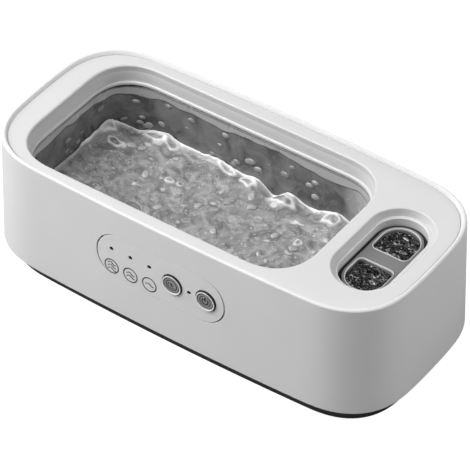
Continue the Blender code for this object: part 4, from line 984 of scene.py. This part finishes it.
EYES = in_mm(
    # ringed blobs: middle x and y, half length, half width
    (-87.0, 25.0, 3.6, 4.2), (-89.5, 13.0, 2.4, 5.5), (-66.6, 33.8, 5.6, 2.2), (-57.4, 34.4, 3.4, 1.8),
    (-27.8, 35.2, 4.2, 1.8), (-14.7, 34.0, 3.0, 1.9), (4.6, 33.0, 6.0, 2.1), (30.2, 33.6, 3.8, 2.3),
    (-44.0, 15.3, 2.0, 1.1), (-39.3, 16.2, 1.4, 1.2), (26.0, 14.0, 1.6, 1.8), (-78.0, 20.0, 4.0, 1.8),
)
SPLASHES = in_mm(
    # mounds and hollows: x, distance from the far wall, reach, rise
    (-88, 12, 5.0, 2.6), (-77, 1, 4.5, -4.0), (-62, 2, 4.5, 3.2), (-47, 1, 4.0, 0.8), (-33, 1, 3.2, 2.0),
    (-13, 2, 3.4, 2.4), (-3, 0, 3.0, -3.6), (6, 2, 3.4, 2.2), (18, 1, 4.0, -1.8), (31, 2, 4.5, 2.6),
)
WATER_INSET = BATH_INSET + BATH_TAPER + 0.02 * MM
WATER_LEVEL = 29.5 * MM
WATER_CLEAR = 0.1 * MM               # between the water and the floor under it
BATH_GRID, WELL_GRID = (276, 164), (70, 60)
LEFT_END = BATH_CENTRE_X - BATH_HALF_X
FAR_WALL = BATH_HALF_Y - WATER_INSET
RUN_UP, RUN_UP_FROM, RUN_UP_LENGTH = 5.2 * MM, 34 * MM, 32 * MM      # water piled up at the left end
MENISCUS_RISE, MENISCUS_REACH = 0.9 * MM, 0.95 * MM
CREST_INSET, CREST_REACH = 1.6 * MM, 1.0 * MM


def bath_surface(x, y, inward):
    """Height and white share of the churning bath: high at the left end, crests along the far wall, whitened
    partly as froth and partly as painted highlight.
    """
    run_up = RUN_UP * smooth_step((LEFT_END + RUN_UP_FROM - x) / RUN_UP_LENGTH)
    height = WATER_LEVEL + run_up + chop(x, y)
    near_wall = math.exp(-(inward / MENISCUS_REACH) ** 2)
    far_side = smooth_step((y + 10 * MM) / (30 * MM))
    # White at the walls, heavier along the far wall: froth, with a painted highlight on the crest line.
    froth_and_highlight = near_wall * (0.25 + 0.75 * far_side)
    for along, from_wall, reach, rise in SPLASHES:
        mound = hump(x, y, (along, FAR_WALL - from_wall), reach, rise)
        height += mound
        froth_and_highlight += 0.2 * max(0.0, mound / (3 * MM)) * (0.5 + pattern(x, y, 2.2, 2.2, 3.0))
    height += near_wall * MENISCUS_RISE
    # The bead is a raised rope along the far wall, whitened as painted highlight.
    bead = math.exp(-((inward - CREST_INSET) / CREST_REACH) ** 2) * far_side
    height += bead * (0.5 + 0.9 * pattern(x, y, 4.0, 4.0, 44.0)) * MM
    froth_and_highlight += bead * 0.17
    froth_and_highlight += smooth_step((pattern(x, y, 4.6, 3.4, 12.0) - 0.5) / 0.1) * 0.4
    # Painted highlight: the loops below and the rings of the eyes are bright outlines on the lumps.
    loops = rings_of(x, y, 6.5 * MM, 0.38, 0.05, 21.0) + 0.5 * rings_of(x, y, 11.0 * MM, 0.05, 0.016, 33.0)
    height += loops * 0.12 * MM
    froth_and_highlight += loops * 0.2
    for eye_x, eye_y, half_x, half_y in EYES:
        across = math.hypot((x - eye_x) / half_x, (y - eye_y) / half_y)
        across += 0.55 * pattern(x, y, 3.4, 3.0, 60.0)
        loop = math.exp(-((across - 1.0) / 0.26) ** 2)
        height += (0.55 * loop + 0.5 * smooth_step(1.4 - across)) * MM
        froth_and_highlight += 0.6 * loop
    return height, min(1.0, max(0.0, froth_and_highlight))


def bath_bed(x, y, inward):
    """The bath's rounded floor."""
    left = max(0.0, BATH_FLOOR_ROUND - inward)
    return BATH_FLOOR + WATER_CLEAR + BATH_FLOOR_ROUND - math.sqrt(BATH_FLOOR_ROUND ** 2 - left ** 2)


def well_surface(x, y, inward):
    """Height and white share in a well: broken streaks of painted highlight that gather in clusters."""
    height = CUP_TOP - WELL_WATER + chop(x + 0.4, y + 0.2, 0.36) * 1.2
    bend = pattern(x, y, 2.4, 2.4, 8.0) * 1.6
    cap = noise.noise((x / MM / 1.9 + bend, y / MM / 0.8 - bend, 31.0))
    cluster = smooth_step(pattern(x, y, 4.0, 4.0, 57.0) * 2.2 + 0.42)
    # Painted highlights: bright specks and small rings on the dark water.
    froth_and_highlight = smooth_step((cap - 0.3) / 0.22) * 0.75 * cluster
    froth_and_highlight += rings_of(x, y, 2.6 * MM, 0.25, 0.06, 17.0) * (0.1 + 0.5 * cluster)
    return height, min(1.0, froth_and_highlight)


def well_bed(x, y, inward):
    """The well's rounded floor, as a slope."""
    return WELL_FLOOR + WATER_CLEAR + max(0.0, WELL_FLOOR_ROUND - inward) * 0.9


def make_water():
    place(pool("bath_water", BATH.points(WATER_INSET), *BATH_GRID, bath_surface, bath_bed), bath_water)
    for side, label in ((-1, "front"), (1, "rear")):
        outline = WellPlan(side).points(WELL_DRAFT + 0.02 * MM)
        water = pool(f"well_water_{label}", outline, *WELL_GRID, well_surface, well_bed)
        place(water, well_water, body="lens_cup")


# ---- what repeats

def tree_with(name, inputs):
    """A Geometry Nodes tree with these named inputs: label, kind, first value."""
    tree = bpy.data.node_groups.new(name, "GeometryNodeTree")
    tree.interface.new_socket("Geometry", in_out="INPUT", socket_type="NodeSocketGeometry")
    for label, kind, value in inputs:
        socket = tree.interface.new_socket(label, in_out="INPUT", socket_type=kind)
        if value is not None:
            socket.default_value = value
    tree.interface.new_socket("Geometry", in_out="OUTPUT", socket_type="NodeSocketGeometry")
    return tree


class Wiring:
    """Short calls for adding and joining nodes in one tree."""

    def __init__(self, tree):
        self.tree = tree
        self.given = tree.nodes.new("NodeGroupInput").outputs
        self.end = tree.nodes.new("NodeGroupOutput")

    def node(self, kind, links=(), **settings):
        return add_node(self.tree, kind, links, settings).outputs

    def join(self, *parts):
        made = self.tree.nodes.new("GeometryNodeJoinGeometry")
        for part in parts:
            self.tree.links.new(part, made.inputs[0])
        return made.outputs[0]

    def finish(self, geometry):
        """Instances made real and in their finish."""
        real = self.node("GeometryNodeRealizeInstances", {0: geometry})[0]
        painted = self.node("GeometryNodeSetMaterial", {"Geometry": real, "Material": self.given["Finish"]})[0]
        self.tree.links.new(painted, self.end.inputs[0])


def grow(name, source, tree, values, sharp=40):
    """Runs a tree on a source mesh, and keeps the result as one plain mesh."""
    step = source.modifiers.new(name, "NODES")
    step.node_group = tree
    for item in tree.interface.items_tree:
        if item.item_type == "SOCKET" and item.in_out == "INPUT" and item.name in values:
            step[item.identifier] = values[item.name]
    bpy.context.view_layer.update()
    graph = bpy.context.evaluated_depsgraph_get()
    mesh = bpy.data.meshes.new_from_object(source.evaluated_get(graph), depsgraph=graph)
    source.modifiers.clear()
    bpy.data.objects.remove(source)
    mesh.name = name
    return link(name, mesh, sharp)


def points_object(places):
    mesh = bpy.data.meshes.new("places")
    mesh.from_pydata([tuple(p) for p in places], [], [])
    return link("places", mesh)


SCREW_HEAD = 1.3 * MM


def screw_tree():
    """A pan-head screw with a cross recess at every point."""
    tree = tree_with("pan_head_screws", (
        ("Length", "NodeSocketFloat", 6 * MM), ("Head Radius", "NodeSocketFloat", 2 * MM),
        ("Head Height", "NodeSocketFloat", SCREW_HEAD), ("Shank Radius", "NodeSocketFloat", 0.9 * MM),
        ("Thread Pitch", "NodeSocketFloat", 0.9 * MM), ("Turn", "NodeSocketVector", (0, 0, 0)),
        ("Finish", "NodeSocketMaterial", None)))
    w = Wiring(tree)
    g = w.given

    def maths(kind, a, b):
        return w.node("ShaderNodeMath", {0: a, 1: b}, operation=kind)[0]

    def along_z(value):
        return w.node("ShaderNodeCombineXYZ", {"Z": value})[0]

    def moved(shape, shift, turn=(0, 0, 0)):
        return w.node("GeometryNodeTransform", {"Geometry": shape, "Translation": shift, "Rotation": turn})[0]

    half = maths("MULTIPLY", g["Head Height"], 0.5)
    skirt = w.node("GeometryNodeMeshCylinder", {"Vertices": 32, "Radius": g["Head Radius"], "Depth": half})[0]
    skirt = moved(skirt, along_z(maths("MULTIPLY", half, -0.5)))
    crown = w.node("GeometryNodeMeshCone", {"Vertices": 32, "Radius Bottom": g["Head Radius"], "Depth": half,
                                            "Radius Top": maths("MULTIPLY", g["Head Radius"], 0.62)})[0]
    crown = moved(crown, along_z(maths("MULTIPLY", half, -1.0)), (math.pi, 0, 0))
    shank = w.node("GeometryNodeMeshCylinder", {"Vertices": 20, "Radius": g["Shank Radius"],
                                                "Depth": g["Length"]})[0]
    shank = moved(shank, along_z(maths("MULTIPLY", g["Length"], 0.5)))
    thread = w.node("GeometryNodeCurvePrimitiveCircle", {"Resolution": 20, "Radius": g["Shank Radius"]})[0]
    bead = w.node("GeometryNodeCurvePrimitiveCircle", {"Resolution": 6, "Radius": 0.14 * MM})[0]
    ring = w.node("GeometryNodeCurveToMesh", {"Curve": thread, "Profile Curve": bead})[0]
    turns = maths("FLOOR", maths("DIVIDE", g["Length"], g["Thread Pitch"]), 0.0)
    ladder = w.node("GeometryNodeMeshLine", {"Count": turns, "Start Location": (0, 0, 0.4 * MM),
                                             "Offset": along_z(g["Thread Pitch"])})[0]
    threads = w.node("GeometryNodeInstanceOnPoints", {"Points": ladder, "Instance": ring})[0]
    slot = [w.node("GeometryNodeMeshCube", {"Size": size})[0] for size in in_mm((2.3, 0.5, 1.4), (0.5, 2.3, 1.4))]
    slots = moved(w.join(*slot), along_z(maths("MULTIPLY", g["Head Height"], -1.0)))
    head = w.tree.nodes.new("GeometryNodeMeshBoolean")
    head.operation = "DIFFERENCE"
    w.tree.links.new(w.join(skirt, crown), head.inputs[0])
    w.tree.links.new(slots, head.inputs[1])
    whole = w.join(head.outputs[0], shank, threads)
    placed = w.node("GeometryNodeInstanceOnPoints", {"Points": g["Geometry"], "Instance": whole,
                                                     "Rotation": g["Turn"]})[0]
    w.finish(placed)
    return tree


def make_screws():
    tree = screw_tree()
    sets = (
        ("base_screws", "base_screw", 4, 9 * MM, False), ("clamp_screws", "clamp_screw", 4, 6 * MM, False),
        ("board_screws", "board_screw", 2, 5 * MM, True),
    )
    for name, node, count, length, head_up in sets:
        nodes = [f"{node}_{i}" for i in range(1, count + 1)]
        places = []
        for one in nodes:
            low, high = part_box(one)
            under_head = high.z - SCREW_HEAD if head_up else low.z + SCREW_HEAD
            places.append(((low.x + high.x) / 2, (low.y + high.y) / 2, under_head))
        turn = (math.pi, 0, 0.4) if head_up else (0, 0, 0.4)
        screws = grow(name, points_object(places), tree, {"Length": length, "Turn": turn, "Finish": screw_steel})
        place(screws, screw_steel, "screw_steel", *nodes)


def drop_tree():
    """Drops or bubbles scattered on a surface, flattened against it, each a little uneven."""
    tree = tree_with("drops", (
        ("Density", "NodeSocketFloat", 5000.0), ("Smallest", "NodeSocketFloat", 0.4 * MM),
        ("Largest", "NodeSocketFloat", 1.4 * MM), ("Flatness", "NodeSocketFloat", 0.5),
        ("Stretch", "NodeSocketFloat", 1.0), ("Unevenness", "NodeSocketFloat", 0.2 * MM),
        ("Seed", "NodeSocketInt", 3), ("Finish", "NodeSocketMaterial", None)))
    w = Wiring(tree)
    g = w.given
    scatter = w.node("GeometryNodeDistributePointsOnFaces", {"Mesh": g["Geometry"], "Density": g["Density"],
                                                             "Seed": g["Seed"]}, distribute_method="RANDOM")
    size = w.node("FunctionNodeRandomValue", {2: g["Smallest"], 3: g["Largest"], "Seed": g["Seed"]},
                  data_type="FLOAT")[1]
    shape = w.node("ShaderNodeCombineXYZ", {"X": 1.0, "Y": g["Stretch"], "Z": g["Flatness"]})[0]
    scale = w.node("ShaderNodeVectorMath", {0: shape, "Scale": size}, operation="SCALE")[0]
    ball = w.node("GeometryNodeMeshIcoSphere", {"Radius": 1.0, "Subdivisions": 2})[0]
    drops = w.node("GeometryNodeInstanceOnPoints", {"Points": scatter["Points"], "Instance": ball,
                                                    "Rotation": scatter["Rotation"], "Scale": scale})[0]
    real = w.node("GeometryNodeRealizeInstances", {0: drops})[0]
    where = w.node("GeometryNodeInputPosition")[0]
    wobble = w.node("ShaderNodeTexNoise", {"Vector": where, "Scale": 420.0, "Detail": 1.0})["Color"]
    centred = w.node("ShaderNodeVectorMath", {0: wobble, 1: (0.5, 0.5, 0.5)}, operation="SUBTRACT")[0]
    shift = w.node("ShaderNodeVectorMath", {0: centred, "Scale": g["Unevenness"]}, operation="SCALE")[0]
    uneven = w.node("GeometryNodeSetPosition", {"Geometry": real, "Offset": shift})[0]
    w.finish(uneven)
    return tree


def wall_patch():
    """The wet part of the far and left walls, above the water and below the tide line."""
    bm = bmesh.new()
    rows, foot = [], BATH_FLOOR + BATH_FLOOR_ROUND
    for z in (WATER_LEVEL + 2.5 * MM, TIDE_LINE - 1.5 * MM):
        inset = BATH_INSET + BATH_TAPER * (FLANGE_TOP - STEEL - z) / (FLANGE_TOP - STEEL - foot)
        chosen = [p for p in BATH.points(inset) if p[1] > -0.2 * BATH_HALF_Y]
        rows.append([bm.verts.new((x, y, z)) for x, y in chosen])
    for i in range(1, len(chosen)):
        if (Vector(chosen[i]) - Vector(chosen[i - 1])).length < 30 * MM:
            bm.faces.new((rows[0][i], rows[0][i - 1], rows[1][i - 1], rows[1][i]))
    return link("wet_wall", mesh_of("wet_wall", bm))


def surface_patch(water, inset):
    """The top of a pool, away from its walls."""
    bm = bmesh.new()
    bm.from_mesh(water.data)
    edge = [face for face in bm.faces if face.normal.z < 0.2]
    bmesh.ops.delete(bm, geom=edge, context="FACES")
    low = Vector(map(min, *(v.co for v in bm.verts)))
    high = Vector(map(max, *(v.co for v in bm.verts)))
    outer = [v for v in bm.verts if not all(low[i] + inset < v.co[i] < high[i] - inset for i in (0, 1))]
    bmesh.ops.delete(bm, geom=outer, context="VERTS")
    return link("open_water", mesh_of("open_water", bm))


def make_drops():
    tree = drop_tree()
    clear_drop = moulded("clear_drop", (0.26, 0.26, 0.263), 0.1, 2 * MM, 0.02 * MM, 0.03, 0.5)
    bubble = moulded("bubble_film", (0.40, 0.40, 0.405), 0.12, 1 * MM, 0.01 * MM, 0.03, 0.4)
    spark = moulded("well_spark", (0.30, 0.30, 0.305), 0.05, 1 * MM, 0.01 * MM, 0.03, 0.6, Metallic=0.4)
    wall_drops = grow("wall_drops", wall_patch(), tree, {
        "Density": 15000.0, "Smallest": 0.5 * MM, "Largest": 2.6 * MM, "Flatness": 0.3, "Stretch": 0.6,
        "Unevenness": 1.0 * MM, "Seed": 11, "Finish": clear_drop}, 180)
    place(wall_drops, clear_drop)
    top = surface_patch(bpy.data.objects["bath_water"], 6 * MM)
    bubbles = grow("bath_bubbles", top, tree, {
        "Density": 5500.0, "Smallest": 0.6 * MM, "Largest": 2.0 * MM, "Flatness": 0.32, "Stretch": 1.4,
        "Unevenness": 0.9 * MM, "Seed": 4, "Finish": bubble}, 180)
    place(bubbles, bubble)
    for side, label in ((-1, "front"), (1, "rear")):
        top = surface_patch(bpy.data.objects[f"well_water_{label}"], 1.2 * MM)
        sparks = grow(f"well_bubbles_{label}", top, tree, {
            "Density": 50000.0, "Smallest": 0.08 * MM, "Largest": 0.55 * MM, "Flatness": 0.6, "Stretch": 1.6,
            "Unevenness": 0.4 * MM, "Seed": 20 + side, "Finish": spark}, 180)
        place(sparks, spark, body="lens_cup")


# ---- lens cup, base and rear socket

def make_cup():
    """Lift-out cup with two D-shaped wells, each with a raised rim painted lighter as a highlight."""
    bm = bmesh.new()
    under = CUP_TOP - CUP_PLATE
    plate = arc(CUP_INSET + GAP, CUP_TOP - GAP, GAP, 90, 180, 4)
    edge = loft(bm, RECESS, plate + [(CUP_INSET, under)])
    inside, outside, highlight_rims = [edge[0]], [edge[-1]], []
    rise = cup_high.z - CUP_TOP
    for side in (-1, 1):
        plan = WellPlan(side)
        rim = [(-CUP_RIM * 0.8, CUP_TOP), (-CUP_RIM * 0.8, CUP_TOP + rise * 0.5), (-CUP_RIM * 0.6, cup_high.z)]
        rim += [(-CUP_RIM * 0.25, cup_high.z), (0.0, CUP_TOP + rise * 0.5), (0.05 * MM, CUP_TOP - 0.5 * MM)]
        middle = WELL_DRAFT + WELL_FLOOR_ROUND, WELL_FLOOR + WELL_FLOOR_ROUND
        pocket = rim + arc(*middle, WELL_FLOOR_ROUND, 180, 270, 6)
        hull = [(WELL_DRAFT - WELL_WALL, under)] + arc(*middle, WELL_FLOOR_ROUND + WELL_WALL, 180, 270, 6)
        inner, outer = loft(bm, plan, pocket), loft(bm, plan, hull)
        bm.faces.new(inner[-1])
        bm.faces.new(outer[-1])
        inside.append(inner[0])
        outside.append(outer[0])
        highlight_rims.append({vertex for ring in inner[:len(rim)] for vertex in ring})
    fill_between(bm, inside)
    fill_between(bm, outside)
    # Rim faces take the lighter grey: painted highlight on the raised rims.
    for face in bm.faces:
        if any(highlight_rim.issuperset(face.verts) for highlight_rim in highlight_rims):
            face.material_index = 1
    cup = from_bmesh("lens_cup_tray", bm)
    cup.data.materials.append(cup_grey)
    cup.data.materials.append(cup_rim_highlight)
    place(even_shading(cup), cup_grey, "grey_cup_plastic", "lens_cup", body="lens_cup")
    wall, inner = RECESS_SLOPE + 0.2 * MM + GAP, CUP_INSET - GAP
    low, high, swell = seal_low.z, seal_high.z, 0.2 * MM
    ring = [(wall, low), (inner, low), (inner, high - swell), (inner - swell, high), (wall + swell, high)]
    place(band("cup_ring", RECESS, ring + [(wall, high - swell)]), silicone, "black_silicone", "cup_seal")


def make_base():
    """Recessed dark base with pockets for the feet and sunk screw holes."""
    low = body_face(BODY_BOTTOM)
    outer, inner = low + PLINTH_INSET, low + PLINTH_INSET + PLINTH_WALL
    rim, flange_low, flange_high = low + WALL + GAP, tray_high.z - 2 * MM, tray_high.z
    profile = arc(inner + MM, TRAY_TOP + MM, MM, 270, 180, 4)
    profile += [(inner, flange_high), (rim, flange_high), (rim, flange_low), (outer + 0.4 * MM, flange_low)]
    profile += [(outer, flange_low - 0.4 * MM)]
    profile += arc(outer + MM, PLINTH_BOTTOM + MM, MM, 180, 270, 6)
    base = vessel("base_shell", BODY, profile)
    cuts = []
    for i in range(1, 5):
        for node, radius, depth, steps in (("foot", 5.3 * MM, MM, 48), ("base_screw", 2.3 * MM, 1.6 * MM, 32)):
            middle = extent(f"{node}_{i}")[2]
            seat = (middle.x, middle.y, PLINTH_BOTTOM)
            cuts.append(turned("cut", [(radius, -MM), (radius, depth)], seat, steps=steps))
    boolean(base, cuts, "DIFFERENCE")
    place(even_shading(base), base_grain, "dark_base_plastic", "base_tray")
    for i in range(1, 5):
        foot_low, foot_high, middle = extent(f"foot_{i}")
        height, radius = foot_high.z - foot_low.z, (foot_high.x - foot_low.x) / 2
        profile = [(0.8 * MM, 0.25 * MM), (2.6 * MM, 0.25 * MM), (2.9 * MM, 0.0), (radius - 0.5 * MM, 0.0)]
        profile += [(radius - 0.15 * MM, 0.15 * MM), (radius, 0.5 * MM), (radius, height)]
        foot = turned(f"rubber_foot_{i}", profile, (middle.x, middle.y, foot_low.z), steps=48)
        place(foot, rubber, "foot_rubber", f"foot_{i}")


def make_socket():
    """Round low-voltage socket at the rear, and the pin in its bore."""
    low, high, middle = extent("power_inlet")
    length = high.y - low.y
    nose, bore, shoulder, pin_hole = 4.3 * MM, 3.1 * MM, 5.8 * MM, 1.2 * MM
    bore_end, front_step, back_step, soft = 9.5 * MM, 3.2 * MM, 5.2 * MM, 0.3 * MM
    profile = [(bore + soft, 0.0), (bore, 0.35 * MM), (bore, bore_end), (pin_hole, bore_end), (pin_hole, length)]
    profile += [(nose, length), (nose, back_step), (shoulder, back_step), (shoulder, front_step)]
    profile += [(nose, front_step), (nose, soft), (nose - soft, 0.0)]
    socket = turned("rear_socket", profile, (middle.x, high.y, middle.z), TO_FRONT, 48, bored=True)
    place(socket, black_gloss, "black_plastic", "power_inlet")
    low, high, middle = extent("inlet_pin")
    profile = in_mm((0.25, 0.0), (0.7, 0.15), (0.95, 0.6), (1.0, 1.0)) + [(1.0 * MM, high.y - low.y)]
    pin = turned("socket_pin", profile, (middle.x, high.y, middle.z), TO_FRONT, 24)
    place(pin, brass, "brass", "inlet_pin")


def paint_fittings():
    """Finishes for the fittings inside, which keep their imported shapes."""
    finishes = {
        black_gloss: ["cup_socket", "power_plunger", "timer_plunger", "power_switch", "timer_switch",
                      "control_chip", "driver_transistor"],
        ceramic: ["cup_transducer", "bath_transducer"],
        board: ["control_board", "main_board"],
        plate_steel: [f"bath_clamp_{i}" for i in range(1, 5)],
        lamp_resin: [f"indicator_lamp_{i}" for i in range(1, 5)],
        ferrite: ["transformer_core"], coil_wire: ["transformer_coil"], ring_wire: ["tuning_coil"],
        sleeve: ["storage_capacitor", "filter_capacitor"], aluminium: ["heat_sink"],
        red_lead: ["transducer_lead", "cup_transducer_lead", "inlet_lead"], grey_lead: ["control_lead"],
    }
    for finish, nodes in finishes.items():
        for name in nodes:
            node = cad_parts[name]
            if not node.material_slots:
                node.data.materials.append(finish)
            for slot in node.material_slots:
                slot.material = finish


# ---- stage

def make_stage():
    """Plain pale floor, soft boxes round the model with the key at the left, and the camera."""
    mesh = bpy.data.meshes.new("floor")
    reach = 4.0
    corners = [(-reach, -reach, 0), (reach, -reach, 0), (reach, reach, 0), (-reach, reach, 0)]
    mesh.from_pydata(corners, [], [(0, 1, 2, 3)])
    floor = show("floor", mesh)
    floor.location.z = -0.1 * MM
    pale = Finish("pale_floor", (0.35, 0.35, 0.35), 0.9, Specular_IOR_Level=0.0)
    seen = pale.node("ShaderNodeLightPath").outputs["Is Camera Ray"]
    pale.tone(pale.speckle(0.3, 2.0), 0.97, 1.03)
    pale.shader.inputs["Emission Color"].default_value = (1, 1, 1, 1)
    pale.tree.links.new(pale.maths("MULTIPLY", seen, 0.92), pale.shader.inputs["Emission Strength"])
    mesh.materials.append(pale.made)

    world = bpy.data.worlds.new("studio")
    world.use_nodes = True
    tree, sky = world.node_tree, world.node_tree.nodes["Background"].inputs
    seen = tree.nodes.new("ShaderNodeLightPath").outputs["Is Camera Ray"]
    level = add_node(tree, "ShaderNodeMapRange", {"Value": seen, "To Min": 0.06, "To Max": 1.0}, {})
    feed(tree, sky["Strength"], level.outputs["Result"])
    feed(tree, sky["Color"], (1, 1, 1, 1))
    bpy.context.scene.world = world
    bpy.context.scene.view_settings.view_transform = "Standard"

    def soft_box(name, direction, distance, size, power):
        data = bpy.data.lights.new(name, "AREA")
        data.shape = "RECTANGLE"
        data.size, data.size_y = size
        data.energy = power
        light = show(name, data)
        way = Vector(direction).normalized()
        light.location = way * distance + Vector((0, 0, 0.03))
        light.rotation_euler = way.to_track_quat("Z", "Y").to_euler()

    soft_box("key", (-0.42, -0.45, 0.80), 1.3, (0.8, 0.8), 20)
    soft_box("left", (-0.85, -0.25, 0.45), 1.3, (0.6, 0.6), 7.5)
    soft_box("right_back", (0.75, 0.60, 0.45), 1.3, (0.6, 0.6), 5.0)
    soft_box("back", (-0.35, 0.90, 0.30), 1.4, (0.8, 0.4), 4.0)
    soft_box("right", (0.78, 0.0, 0.62), 1.3, (0.5, 0.5), 3.8)

    azimuth, elevation, roll = math.radians(35.664), math.radians(42.481), math.radians(-0.2)
    aim_right, aim_up, distance = 0.001375, 0.012426, 1.3354
    away = Vector((math.sin(azimuth) * math.cos(elevation), -math.cos(azimuth) * math.cos(elevation),
                   math.sin(elevation)))
    level = Vector((math.cos(azimuth), math.sin(azimuth), 0))
    above = away.cross(level)
    right = level * math.cos(roll) + above * math.sin(roll)
    up = above * math.cos(roll) - level * math.sin(roll)
    back = (away - right * aim_right - up * aim_up).normalized()
    right = (right - back * right.dot(back)).normalized()
    up = back.cross(right)
    data = bpy.data.cameras.new("camera")
    data.lens, data.sensor_width = 231.64, 36.0
    camera = show("camera", data)
    turn = Matrix((right, up, back)).transposed().to_4x4()
    camera.matrix_world = Matrix.Translation(away * distance + Vector((0, 0, BODY_BOTTOM))) @ turn
    bpy.context.scene.camera = camera


for step in (make_shell, make_deck, make_panel, make_mode_marks, make_buttons, make_lenses, make_bath, make_water,
             make_cup, make_base, make_socket, make_screws, make_drops, paint_fittings, make_stage):
    step()
